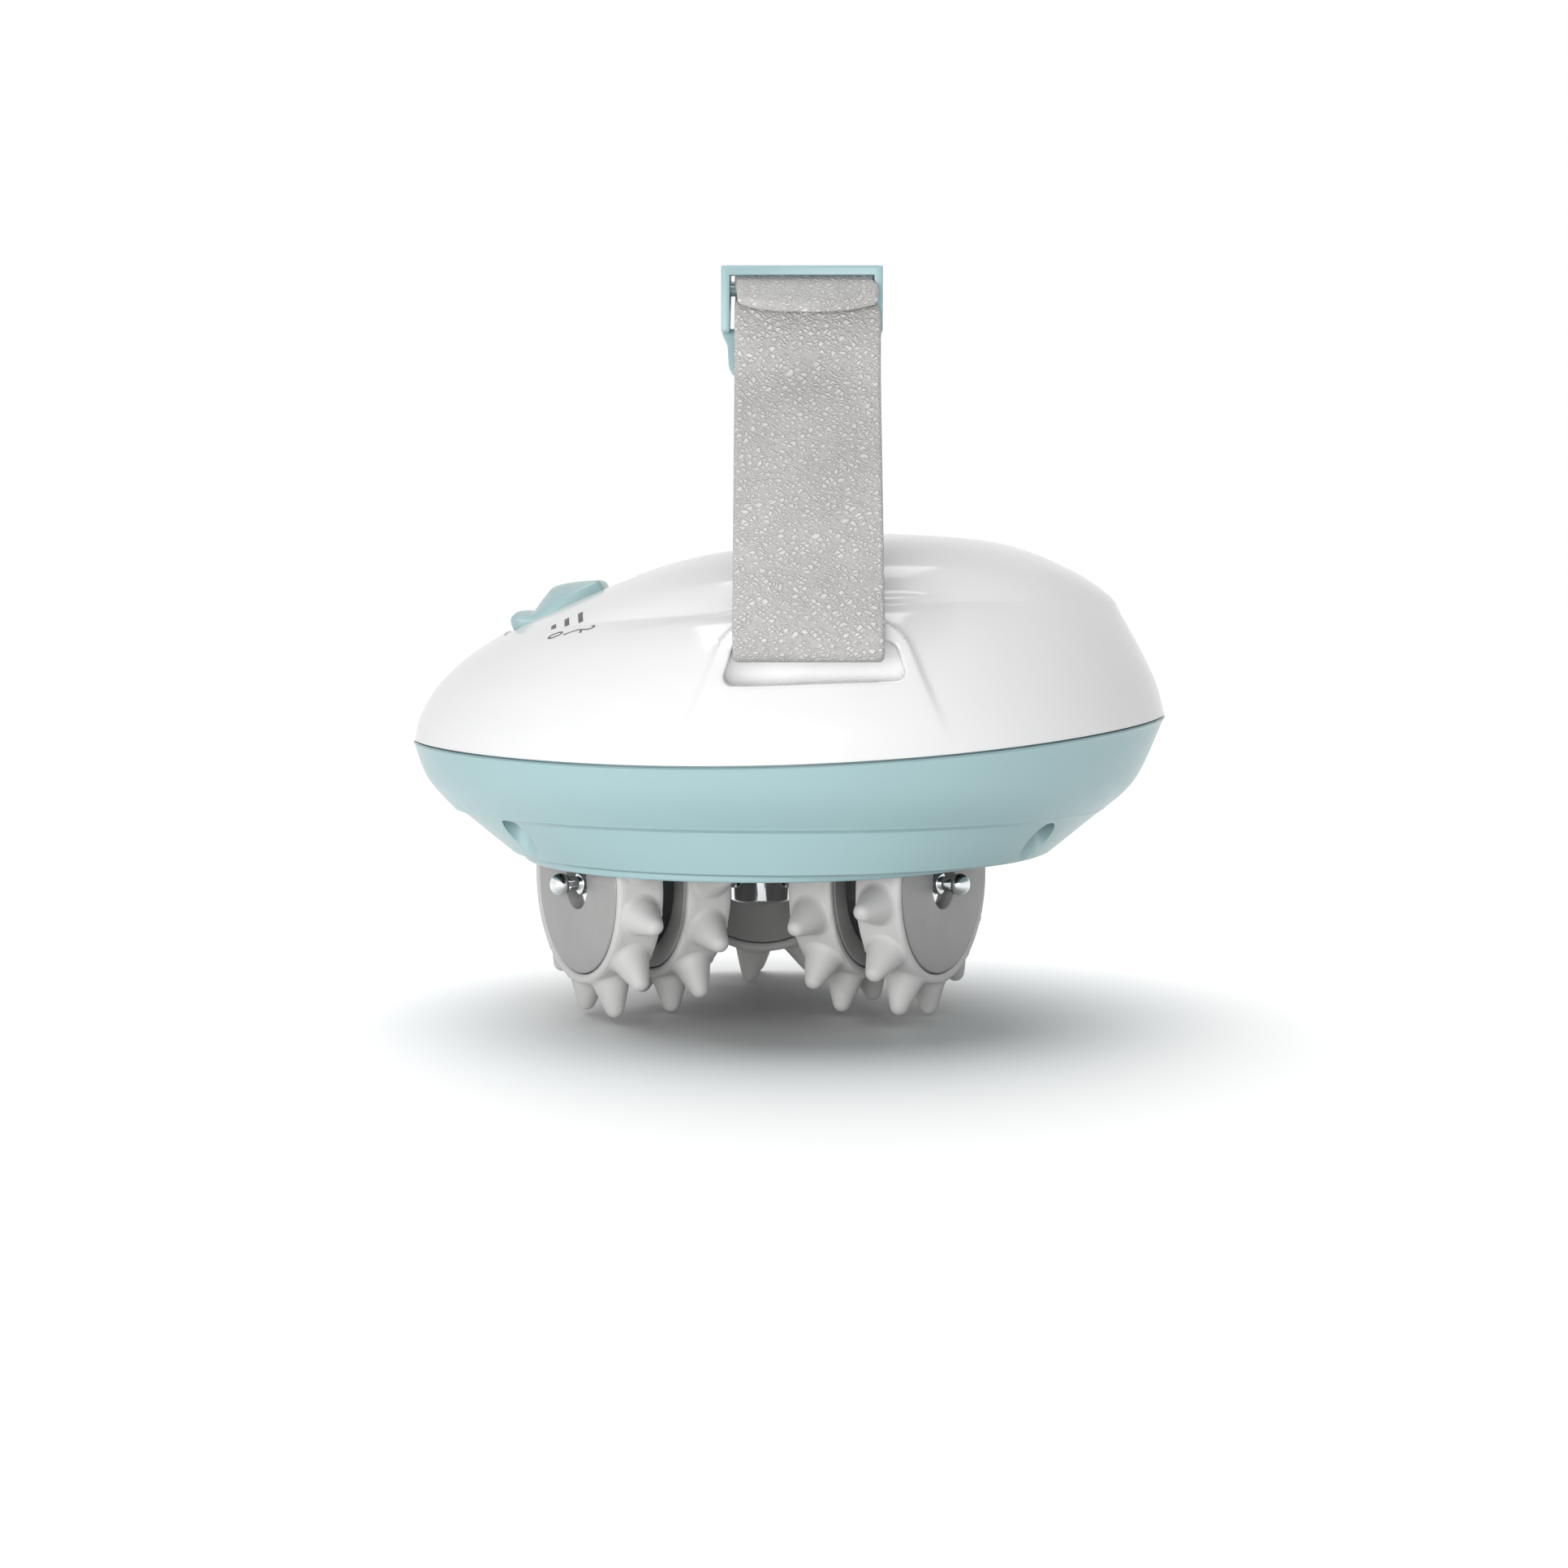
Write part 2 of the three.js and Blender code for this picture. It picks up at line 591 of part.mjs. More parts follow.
// Lower shell
function lowerHousing() {
  const rim = PARTING_GAP / 2;
  const outerRings = lowerLevels.map((level) => ring(level));
  outerRings[outerRings.length - 1] = ring(lowerLevels.at(-1), 0, rim);
  const floorZ = BOWL_BOTTOM_Z + LOWER_WALL;
  const holeRadius = collarRadius + GAP;
  const rimInner = lowerLevels.at(-1);
  const inner = lowerLevels.slice(1, -1).reverse().map((level) => ring(level, LOWER_WALL + 0.4));
  const shellRings = [
    circle(HEAD_X, holeRadius, BOWL_BOTTOM_Z),
    ...outerRings,
    ring(rimInner, lipInset, rim),
    ring(rimInner, lipInset, -LIP_HEIGHT),
    ring(rimInner, lipInset + LIP_THICKNESS, -LIP_HEIGHT),
    ring(rimInner, lipInset + LIP_THICKNESS, rim + 2),
    ...inner,
    ring(lowerLevels[0], 0, -LOWER_WALL),
    circle(HEAD_X, holeRadius, floorZ),
  ];
  let shell = loft(shellRings, true);
  const filled = loft([[[0, 0, BOWL_BOTTOM_Z]], ...outerRings, [[0, 0, PARTING_SIDE_Z]]]);
  for (const [x, y] of wells) {
    const tube = cylinder(WELL_RADIUS + 1, BOWL_BOTTOM_Z - 1, WELL_FLOOR_Z + WELL_FLOOR, x, y, 14);
    shell = shell.add(tube.intersect(filled));
  }
  for (const [x, y] of wells) {
    shell = shell.subtract(cylinder(WELL_RADIUS, 0, WELL_FLOOR_Z, x, y, 14));
    shell = shell.subtract(cylinder(SCREW_RADIUS + GAP, 0, WELL_FLOOR_Z + WELL_FLOOR + 1, x, y, 8));
  }
  const inletRoom = INLET_RECESS_RADIUS + INLET_BOSS_WALL + GAP;
  return shell.subtract(cylinderAlongX(inletRoom, inletFaceX - 10, halfLength + 1, INLET_Z));
}

function housingScrew() {
  const top = WELL_FLOOR_Z - GAP;
  const profile = [
    [0, top - SCREW_HEAD_HEIGHT],
    [SCREW_HEAD_RADIUS * 0.8, top - SCREW_HEAD_HEIGHT],
    [SCREW_HEAD_RADIUS, top - SCREW_HEAD_HEIGHT * 0.6],
    [SCREW_HEAD_RADIUS, top],
    [SCREW_RADIUS, top],
    [SCREW_RADIUS, top + SCREW_LENGTH - 2],
    [0, top + SCREW_LENGTH],
  ];
  const arm = SCREW_HEAD_RADIUS * 0.55;
  const half = 0.4;
  const head = top - SCREW_HEAD_HEIGHT;
  return latheZ(profile, 8)
    .subtract(box(-arm, arm, -half, half, head - 1, head + 1))
    .subtract(box(-half, half, -arm, arm, head - 1, head + 1));
}

// Collar: the skirt round the rollers, with a bead seated on the bowl's floor
function baseCollar() {
  const beadZ = BOWL_BOTTOM_Z + LOWER_WALL + GAP;
  const edge = COLLAR_WALL / 3;
  return latheZ(
    [
      [COLLAR_INNER_RADIUS, COLLAR_BOTTOM_Z + edge],
      [COLLAR_INNER_RADIUS + edge, COLLAR_BOTTOM_Z],
      [collarRadius - edge, COLLAR_BOTTOM_Z],
      [collarRadius, COLLAR_BOTTOM_Z + edge],
      [collarRadius, beadZ],
      [collarRadius + COLLAR_BEAD, beadZ],
      [collarRadius, beadZ + 2],
      [collarRadius, collarTopZ],
      [COLLAR_INNER_RADIUS, collarTopZ],
    ],
    BODY_SIDES,
  ).translate([HEAD_X, 0, 0]);
}

// Gear train
const outputPitch = (GEAR_MODULE * OUTPUT_TEETH) / 2;
const idlerSmallPitch = (GEAR_MODULE * IDLER_SMALL_TEETH) / 2;
const idlerLargePitch = (GEAR_MODULE * IDLER_LARGE_TEETH) / 2;
const pinionPitch = (GEAR_MODULE * PINION_TEETH) / 2;
const firstCentres = outputPitch + idlerSmallPitch;
const secondCentres = idlerLargePitch + pinionPitch;
const motorReach = MOTOR_X - HEAD_X;
const idlerAlong = (firstCentres ** 2 - secondCentres ** 2 + motorReach ** 2) / (2 * motorReach);
const idlerX = HEAD_X + idlerAlong;
const idlerY = Math.sqrt(firstCentres ** 2 - idlerAlong ** 2);

// A spur gear with one tooth centred on the given direction, or a gap with half = true
function spurGear(teeth, z0, z1, direction, gapThere = false) {
  const pitchRadius = (GEAR_MODULE * teeth) / 2;
  const tip = pitchRadius + 0.85 * GEAR_MODULE;
  const root = pitchRadius - 1.2 * GEAR_MODULE;
  const step = (2 * Math.PI) / teeth;
  const turn = direction + (gapThere ? step / 2 : 0);
  const points = [];
  for (let i = 0; i < teeth; i++) {
    const middle = turn + i * step;
    for (const [radius, share] of [[root, -0.34], [tip, -0.13], [tip, 0.13], [root, 0.34]]) {
      points.push([radius * Math.cos(middle + share * step), radius * Math.sin(middle + share * step)]);
    }
  }
  return prism(outline(points), "xy", z0, z1);
}

const towardsIdler = Math.atan2(idlerY, idlerAlong);
const towardsPinion = Math.atan2(-idlerY, MOTOR_X - idlerX);

function outputGear() {
  const top = outputGearZ + OUTPUT_GEAR_THICKNESS;
  let gear = spurGear(OUTPUT_TEETH, outputGearZ, top, towardsIdler);
  gear = gear.subtract(cylinder(NECK_RADIUS + GAP, outputGearZ - 1, top + 1));
  return gear.translate([HEAD_X, 0, 0]);
}

function idlerGear() {
  const small = spurGear(IDLER_SMALL_TEETH, outputGearZ, idlerGearZ + 0.2, towardsIdler + Math.PI, true);
  const large = spurGear(IDLER_LARGE_TEETH, idlerGearZ, idlerGearZ + IDLER_GEAR_THICKNESS, towardsPinion);
  const bore = cylinder(IDLER_PIN_RADIUS + GAP, chassisZ, coverTopZ, 0, 0, 16);
  return small.add(large).subtract(bore).translate([idlerX, idlerY, 0]);
}

function motorPinion() {
  const top = idlerGearZ + IDLER_GEAR_THICKNESS;
  const teeth = spurGear(PINION_TEETH, idlerGearZ, top, towardsPinion + Math.PI, true);
  const shaft = cylinder(MOTOR_SHAFT_RADIUS, idlerGearZ - 1, coverTopZ + MOTOR_HEIGHT - 3, 0, 0, 12);
  return teeth.add(shaft).translate([MOTOR_X, 0, 0]);
}

function gearChassis() {
  let plate = cylinder(chassisRadius, chassisZ, chassisTopZ, HEAD_X, 0, BODY_SIDES);
  for (const [x, y] of POSTS) {
    plate = plate.add(cylinder(POST_RADIUS, chassisTopZ - 1, coverZ - GAP, x, y, 10));
  }
  plate = plate.add(cylinder(POST_RADIUS, chassisTopZ - 1, chassisTopZ + GAP, idlerX, idlerY, 10));
  for (const [x, y] of POSTS) {
    plate = plate.subtract(cylinder(SCREW_RADIUS + GAP, coverZ - 8, coverZ, x, y, 8));
  }
  plate = plate.subtract(cylinder(BUSH_RADIUS + GAP, chassisZ - 1, chassisTopZ + 1, HEAD_X, 0));
  const pinSeat = cylinder(IDLER_PIN_RADIUS + GAP, chassisZ + GAP, chassisTopZ + 1, idlerX, idlerY);
  return plate.subtract(pinSeat);
}

function gearCover() {
  const edge = POST_RADIUS + 2;
  const [a, b, c, d] = POSTS;
  const plan = roundedOutline(
    [
      [a[0] - edge, a[1] - edge],
      [b[0] + edge, b[1] - edge],
      [c[0] + edge, -edge],
      [c[0] + edge, c[1] + edge],
      [d[0] - edge, d[1] + edge],
    ],
    edge,
  );
  const screwHole = (x, y) => cylinder(SCREW_RADIUS + GAP, coverZ - 1, coverTopZ + 1, x, y, 8);
  let plate = prism(plan, "xy", coverZ, coverTopZ, 3);
  for (const [x, y] of POSTS) plate = plate.subtract(screwHole(x, y));
  plate = plate.subtract(cylinder(MOTOR_SHAFT_RADIUS + 1, coverZ - 1, coverTopZ + 1, MOTOR_X, 0, 12));
  return plate.subtract(cylinder(IDLER_PIN_RADIUS + GAP, coverZ - 1, coverTopZ + 1, idlerX, idlerY, 12));
}

function coverScrew() {
  const seat = coverTopZ + GAP;
  const profile = [
    [0, seat - 7],
    [SCREW_RADIUS, seat - 6],
    [SCREW_RADIUS, seat],
    [SCREW_HEAD_RADIUS, seat],
    [SCREW_HEAD_RADIUS, seat + SCREW_HEAD_HEIGHT * 0.5],
    [SCREW_HEAD_RADIUS * 0.7, seat + SCREW_HEAD_HEIGHT],
    [0, seat + SCREW_HEAD_HEIGHT],
  ];
  const half = 0.4;
  const arm = SCREW_HEAD_RADIUS * 0.6;
  const top = seat + SCREW_HEAD_HEIGHT;
  return latheZ(profile, 8).subtract(box(-arm, arm, -half, half, top - 1, top + 1));
}

function motorCan() {
  const base = coverTopZ + GAP;
  const top = base + MOTOR_HEIGHT;
  const round = 1.2;
  const shaftHole = MOTOR_SHAFT_RADIUS + GAP;
  const holeTop = top - 2;
  return latheZ(
    [
      [shaftHole, base],
      [MOTOR_RADIUS - round, base],
      [MOTOR_RADIUS, base + round],
      [MOTOR_RADIUS, top - round],
      [MOTOR_RADIUS - round, top],
      [0, top],
      [0, holeTop],
      [shaftHole, holeTop],
    ],
    24,
  );
}

// Head: spindle, carrier with hangers, axles and rollers
function driveSpindle() {
  const bottom = axleZ - SPINDLE_DROP;
  const shoulder = carrierBottomZ - GAP;
  const grooveRadius = NECK_RADIUS - AXLE_GROOVE_DEPTH;
  const bevel = 0.6;
  let spindle = latheZ(
    [
      [0, bottom],
      [SPINDLE_RADIUS - bevel, bottom],
      [SPINDLE_RADIUS, bottom + bevel],
      [SPINDLE_RADIUS, shoulder],
      [NECK_RADIUS, shoulder],
      [NECK_RADIUS, ringZ - 0.2],
      [grooveRadius, ringZ - 0.2],
      [grooveRadius, ringZ + RING_THICKNESS + 0.2],
      [NECK_RADIUS, ringZ + RING_THICKNESS + 0.2],
      [NECK_RADIUS, neckTopZ],
      [0, neckTopZ],
    ],
    20,
  );
  for (const angle of Object.values(ARM_ANGLES)) {
    const hole = cylinderAlongX(AXLE_RADIUS + GAP, AXLE_START - GAP, SPINDLE_RADIUS + 2, axleZ, 12);
    spindle = spindle.subtract(hole.rotate([0, 0, angle]));
  }
  return spindle.translate([HEAD_X, 0, 0]);
}

// A flat ring with a gap, that snaps into a groove
function snapRing(inner, outer, thickness, mouth) {
  const shape = new THREE.Shape();
  const opening = Math.asin(mouth / 2 / inner);
  shape.absarc(0, 0, outer, opening * 0.6, 2 * Math.PI - opening * 0.6, false);
  shape.absarc(0, 0, inner, 2 * Math.PI - opening, opening, true);
  shape.closePath();
  return prism(shape, "xy", 0, thickness, 8);
}

const hangerIn = INNER_ROLLER_REACH + ROLLER_WIDTH / 2 + GAP;
const hangerOut = OUTER_ROLLER_REACH - ROLLER_WIDTH / 2 - GAP;
const recessFloor = OUTER_ROLLER_REACH + ROLLER_WIDTH / 2 - HUB_RECESS_DEPTH;

function rollerCarrier() {
  let carrier = cylinder(CARRIER_RADIUS, carrierBottomZ, carrierTopZ, 0, 0, 36);
  for (const angle of Object.values(ARM_ANGLES)) {
    const shape = new THREE.Shape();
    shape.moveTo(HANGER_RADIUS, carrierBottomZ + 1);
    shape.lineTo(-HANGER_RADIUS, carrierBottomZ + 1);
    shape.lineTo(-HANGER_RADIUS, axleZ);
    shape.absarc(0, axleZ, HANGER_RADIUS, Math.PI, 2 * Math.PI, false);
    const hanger = prism(shape, "yz", hangerIn, hangerOut, 8);
    const bore = cylinderAlongX(AXLE_RADIUS + GAP, hangerIn - 1, hangerOut + 1, axleZ, 12);
    carrier = carrier.add(hanger.subtract(bore).rotate([0, 0, angle]));
  }
  const bore = cylinder(NECK_RADIUS + GAP, carrierBottomZ - 1, carrierTopZ + 1);
  return carrier.subtract(bore).translate([HEAD_X, 0, 0]);
}

function axle() {
  const grooveIn = recessFloor + GAP - 0.1;
  const grooveOut = recessFloor + GAP + CLIP_THICKNESS + 0.1;
  const grooveRadius = AXLE_RADIUS - AXLE_GROOVE_DEPTH;
  const dome = AXLE_END_REACH - AXLE_RADIUS;
  const arc = [30, 60].map((a) => [AXLE_RADIUS * Math.cos(deg(a)), dome + AXLE_RADIUS * Math.sin(deg(a))]);
  return latheX(
    [
      [0, AXLE_START],
      [AXLE_RADIUS, AXLE_START],
      [AXLE_RADIUS, SPINDLE_RADIUS + 2 * GAP],
      [AXLE_SHOULDER_RADIUS, SPINDLE_RADIUS + 2 * GAP],
      [AXLE_SHOULDER_RADIUS, INNER_ROLLER_REACH - ROLLER_WIDTH / 2 - GAP],
      [AXLE_RADIUS, INNER_ROLLER_REACH - ROLLER_WIDTH / 2 - GAP],
      [AXLE_RADIUS, grooveIn],
      [grooveRadius, grooveIn],
      [grooveRadius, grooveOut],
      [AXLE_RADIUS, grooveOut],
      [AXLE_RADIUS, dome],
      ...arc,
      [0, AXLE_END_REACH],
    ],
    12,
  );
}

function axleClip() {
  const inner = AXLE_RADIUS - AXLE_GROOVE_DEPTH + GAP;
  const flat = snapRing(inner, CLIP_RADIUS, CLIP_THICKNESS, CLIP_MOUTH);
  return flat.rotate([0, 90, 0]).translate([recessFloor + GAP, 0, 0]);
}

function rollerHub(reach, outward) {
  const half = ROLLER_WIDTH / 2;
  const bore = AXLE_RADIUS + GAP;
  const face = outward ? half - HUB_RECESS_DEPTH : half;
  const recess = outward
    ? [[bore, face], [HUB_RECESS_RADIUS, face], [HUB_RECESS_RADIUS, half]]
    : [[bore, face]];
  const profile = [[bore, -half], ...recess, [HUB_RADIUS, half], [HUB_RADIUS, -half]];
  return latheX(profile.map(([r, w]) => [r, w + reach]), 20);
}

function nub() {
  const base = (TYRE_INNER_RADIUS + TYRE_RADIUS) / 2;
  return latheZ(
    [
      [0, base],
      [NUB_BASE_RADIUS, base],
      [NUB_TIP_ROUND, NUB_TIP_RADIUS - NUB_TIP_ROUND * 0.6],
      [0, NUB_TIP_RADIUS],
    ],
    6,
  );
}

function rollerTyre(reach, lean) {
  const half = ROLLER_WIDTH / 2;
  let tyre = latheX(
    [
      [TYRE_INNER_RADIUS, -half],
      [TYRE_INNER_RADIUS, half],
      [TYRE_RADIUS - TYRE_CHAMFER, half],
      [TYRE_RADIUS, half - TYRE_CHAMFER],
      [TYRE_RADIUS, TYRE_CHAMFER - half],
      [TYRE_RADIUS - TYRE_CHAMFER, -half],
    ],
    24,
  );
  const one = nub();
  for (let i = 0; i < NUB_COUNT; i++) {
    tyre = tyre.add(one.rotate([180 + lean + nubPitch * i, 0, 0]));
  }
  return tyre.translate([reach, 0, 0]);
}

// Thumb switch, made around its own origin on the slope. The knob's sections run from its front
// end to its rear one: share of its length, height of the crest and of the sides as shares of the
// full height, and half width as a share of the full half width.
const knobSections = [
  [0, 0.48, 0.4, 0.76],
  [0.028, 0.66, 0.53, 0.9],
  [0.085, 0.75, 0.58, 0.98],
  [0.19, 0.63, 0.38, 1],
  [0.245, 0.53, 0.3, 1],
  [0.34, 0.72, 0.28, 1],
  [0.44, 0.9, 0.32, 1],
  [0.52, 1, 0.35, 1],
  [0.65, 0.93, 0.42, 1],
  [0.8, 0.77, 0.48, 1],
  [0.925, 0.6, 0.5, 0.96],
  [0.98, 0.52, 0.47, 0.85],
  [1, 0.38, 0.36, 0.74],
];
const KNOB_ARCH_POINTS = 9;

function switchSlider() {
  const front = -(KNOB_LENGTH + SWITCH_TRAVEL) / 2;
  const rise = KNOB_HEIGHT - GAP;
  const rings = knobSections.map(([along, crest, side, wide]) => {
    const x = front + along * KNOB_LENGTH;
    const half = (wide * KNOB_WIDTH) / 2;
    const points = [[x, half, GAP], [x, -half, GAP]];
    for (let i = 0; i < KNOB_ARCH_POINTS; i++) {
      const across = (2 * i) / (KNOB_ARCH_POINTS - 1) - 1;
      const share = side + (crest - side) * (1 - across * across);
      points.push([x, across * half, GAP + share * rise]);
    }
    return points;
  });
  const middleOf = (ring) => [[ring[0][0], 0, GAP + KNOB_HEIGHT / 6]];
  const knob = loft([middleOf(rings[0]), ...rings, middleOf(rings.at(-1))], false, rings[0].length);
  const middle = -SWITCH_TRAVEL / 2;
  const peg = (length, width, depth) =>
    box(middle - length / 2, middle + length / 2, -width / 2, width / 2, -depth, KNOB_HEIGHT / 6);
  const stem = peg(STEM_LENGTH, STEM_WIDTH, STEM_DEPTH);
  return onSlope(knob.add(stem).add(peg(TONGUE_LENGTH, TONGUE_WIDTH, TONGUE_DEPTH)));
}

function slideSwitch() {
  const half = SWITCH_BODY_WIDTH / 2;
  const bottom = GAP - BOARD_DROP;
  const body = box(-SWITCH_BODY_FRONT, SWITCH_BODY_REAR, -half, half, bottom, -SWITCH_BODY_TOP);
  const reach = SWITCH_TRAVEL / 2 + TONGUE_LENGTH / 2 + GAP;
  const side = TONGUE_WIDTH / 2 + GAP;
  return onSlope(body.subtract(box(-reach, reach, -side, side, -SWITCH_GROOVE_DEPTH, 0)));
}

function circuitBoard() {
  const half = BOARD_WIDTH / 2;
  return onSlope(box(-BOARD_FRONT, BOARD_REAR, -half, half, -BOARD_DROP - BOARD_THICKNESS, -BOARD_DROP));
}

function powerInlet() {
  const back = inletFaceX - INLET_LENGTH;
  const half = INLET_RADIUS + INLET_PIN_RADIUS * 0.7;
  const wall = INLET_PIN_RADIUS * 2;
  const barrel = cylinderAlongX(INLET_RADIUS, back + 2 * wall, inletFaceX, INLET_Z);
  const body = box(back, inletFaceX - INLET_SEAT - GAP, -half, half, INLET_Z - half, INLET_Z + half);
  const bore = cylinderAlongX(INLET_BORE_RADIUS, back + 1.5 * wall, inletFaceX + 1, INLET_Z);
  const pin = cylinderAlongX(INLET_PIN_RADIUS, back + wall, inletFaceX - INLET_PIN_RADIUS, INLET_Z, 12);
  return barrel.add(body).subtract(bore).add(pin);
}

// Strap: each run loops through its anchor's window and slot and is sewn back on itself
const strapHalf = STRAP_WIDTH / 2;
const loopInner = bridgeBackY - GAP - STRAP_THICKNESS;
const runFaceY = padTopY + GAP + STRAP_THICKNESS;
const runLean = (runFaceY - SHOULDER_Y) / (shoulderZ - PAD_TOP_Z);
const runY = (z) => runFaceY - (z - PAD_TOP_Z) * runLean;
const loopBottomZ = WINDOW_TOP_Z - GAP - STRAP_THICKNESS;

// The sewn eye round the bridge, in the plane across the body, on the near side
function strapEye() {
  const sewnZ = PAD_TOP_Z + SEWN_RISE / 5;
  const joinedZ = PAD_TOP_Z + SEWN_RISE;
  const eye = roundedOutline(
    [
      [-runFaceY, loopBottomZ],
      [-loopInner, loopBottomZ],
      [-loopInner, sewnZ],
      [-runY(joinedZ) + STRAP_THICKNESS, joinedZ],
      [-runY(joinedZ), joinedZ],
      [-runFaceY, PAD_TOP_Z],
    ],
    STRAP_THICKNESS * 0.9,
  );
  const hole = outline([
    [-padTopY - GAP, WINDOW_TOP_Z - GAP],
    [-bridgeBackY + GAP, WINDOW_TOP_Z - GAP],
    [-bridgeBackY + GAP, PAD_TOP_Z + GAP],
    [-padTopY - GAP, PAD_TOP_Z + GAP],
  ]);
  const through = prism(hole, "yz", STRAP_X - strapHalf - 1, STRAP_X + strapHalf + 1);
  return prism(eye, "yz", STRAP_X - strapHalf, STRAP_X + strapHalf).subtract(through);
}

const barLoop = BUCKLE_BAR_RADIUS + STRAP_THICKNESS / 2 + GAP + GAP / 3;
const onRun = (z) => [-runY(z) + STRAP_THICKNESS / 2 + GAP / 3, z];
const runStart = onRun(PAD_TOP_Z + 6);
const runMiddle = onRun((PAD_TOP_Z + shoulderZ) / 2);

// The strap is squeezed at its edges where it passes between the buckle's rails
const middleBar = [MIDDLE_BAR_INSET - SHOULDER_Y, shoulderZ + MIDDLE_BAR_INSET];
const rearBar = [REAR_BAR_INSET - SHOULDER_Y, buckleTopZ - REAR_BAR_DROP];
const buckleFrontY = -SHOULDER_Y - BUCKLE_PROUD;
const buckleLowZ = buckleTopZ - BUCKLE_HEIGHT;
const flapEnd = [-SHOULDER_Y - FLAP_REACH, shoulderZ + FLAP_REACH * 0.22];

function squeezed(band) {
  const inner = BUCKLE_INNER_HALF - GAP;
  const outer = BUCKLE_INNER_HALF + BUCKLE_RAIL + STRAP_WIDTH;
  const back = rearBar[0] + BUCKLE_BAR_RADIUS * 1.2 + GAP;
  let clear = band;
  for (const [near, far] of [[inner, outer], [-outer, -inner]]) {
    const [left, right] = [BUCKLE_X + near, BUCKLE_X + far];
    const frontLow = buckleFrontY - STRAP_THICKNESS - GAP;
    const foot = box(left, right, frontLow, back, buckleLowZ - GAP, middleBar[1] - MIDDLE_BAR_INSET / 2);
    const rest = box(left, right, buckleFrontY - GAP, back, buckleLowZ, buckleTopZ + GAP);
    clear = clear.subtract(foot).subtract(rest);
  }
  return clear;
}

// Near run: up outside the tongue, in under the middle bar, round it and out again as a drooping end
function strapAdjustingRun() {
  const left = STRAP_X - strapHalf;
  const right = STRAP_X + strapHalf;
  const route = [
    runStart,
    runMiddle,
    [-SHOULDER_Y - 1.5, shoulderZ - 3 * STRAP_THICKNESS],
    [-SHOULDER_Y + 0.2, shoulderZ],
    ...around(middleBar, barLoop, -100, 100, 6),
    [-SHOULDER_Y - 1.6, shoulderZ + 3.1 * STRAP_THICKNESS],
    flapEnd,
  ];
  const band = prism(bandOutline(route, STRAP_THICKNESS, 34), "yz", left, right);

  // The loose end is cut to a half moon, square to its own face
  const moon = new THREE.Shape();
  moon.moveTo(right + 1, -FLAP_REACH);
  moon.lineTo(right + 1, FLAP_ROUNDING * 1.1);
  moon.quadraticCurveTo(STRAP_X + strapHalf * 0.62, 0, STRAP_X, 0);
  moon.quadraticCurveTo(STRAP_X - strapHalf * 0.62, 0, left - 1, FLAP_ROUNDING * 1.1);
  moon.lineTo(left - 1, -FLAP_REACH);
  const trim = prism(moon, "xz", -STRAP_THICKNESS, STRAP_THICKNESS)
    .rotate([FLAP_LEAN - 90, 0, 0])
    .translate([0, flapEnd[0], flapEnd[1]]);
  return squeezed(band.subtract(trim)).add(strapEye());
}

// Far run: from the far anchor over the top to the buckle's rear bar, round which it is sewn
function strapFixedRun() {
  const topZ = STRAP_TOP_Z - STRAP_THICKNESS / 2;
  const route = [
    [-runStart[0], runStart[1]],
    [-runMiddle[0], runMiddle[1]],
    [SHOULDER_Y + 1.5, shoulderZ - 3 * STRAP_THICKNESS],
    [SHOULDER_Y * 0.857, shoulderZ + SHOULDER_DROP * 0.565],
    [SHOULDER_Y * 0.524, topZ - 0.2],
    [0, topZ],
    [rearBar[0] + 6, topZ - ARCH_DIP],
    ...around(rearBar, barLoop, 80, 280, 6),
    [rearBar[0] + 2 * STRAP_THICKNESS, rearBar[1] - 0.7 * STRAP_THICKNESS],
    [rearBar[0] + 4.25 * STRAP_THICKNESS, rearBar[1] + 0.3 * STRAP_THICKNESS],
  ];
  const line = bandOutline(route, STRAP_THICKNESS, 36);
  const band = prism(line, "yz", STRAP_X - strapHalf, STRAP_X + strapHalf);
  return squeezed(band).add(mirrorY(strapEye()));
}

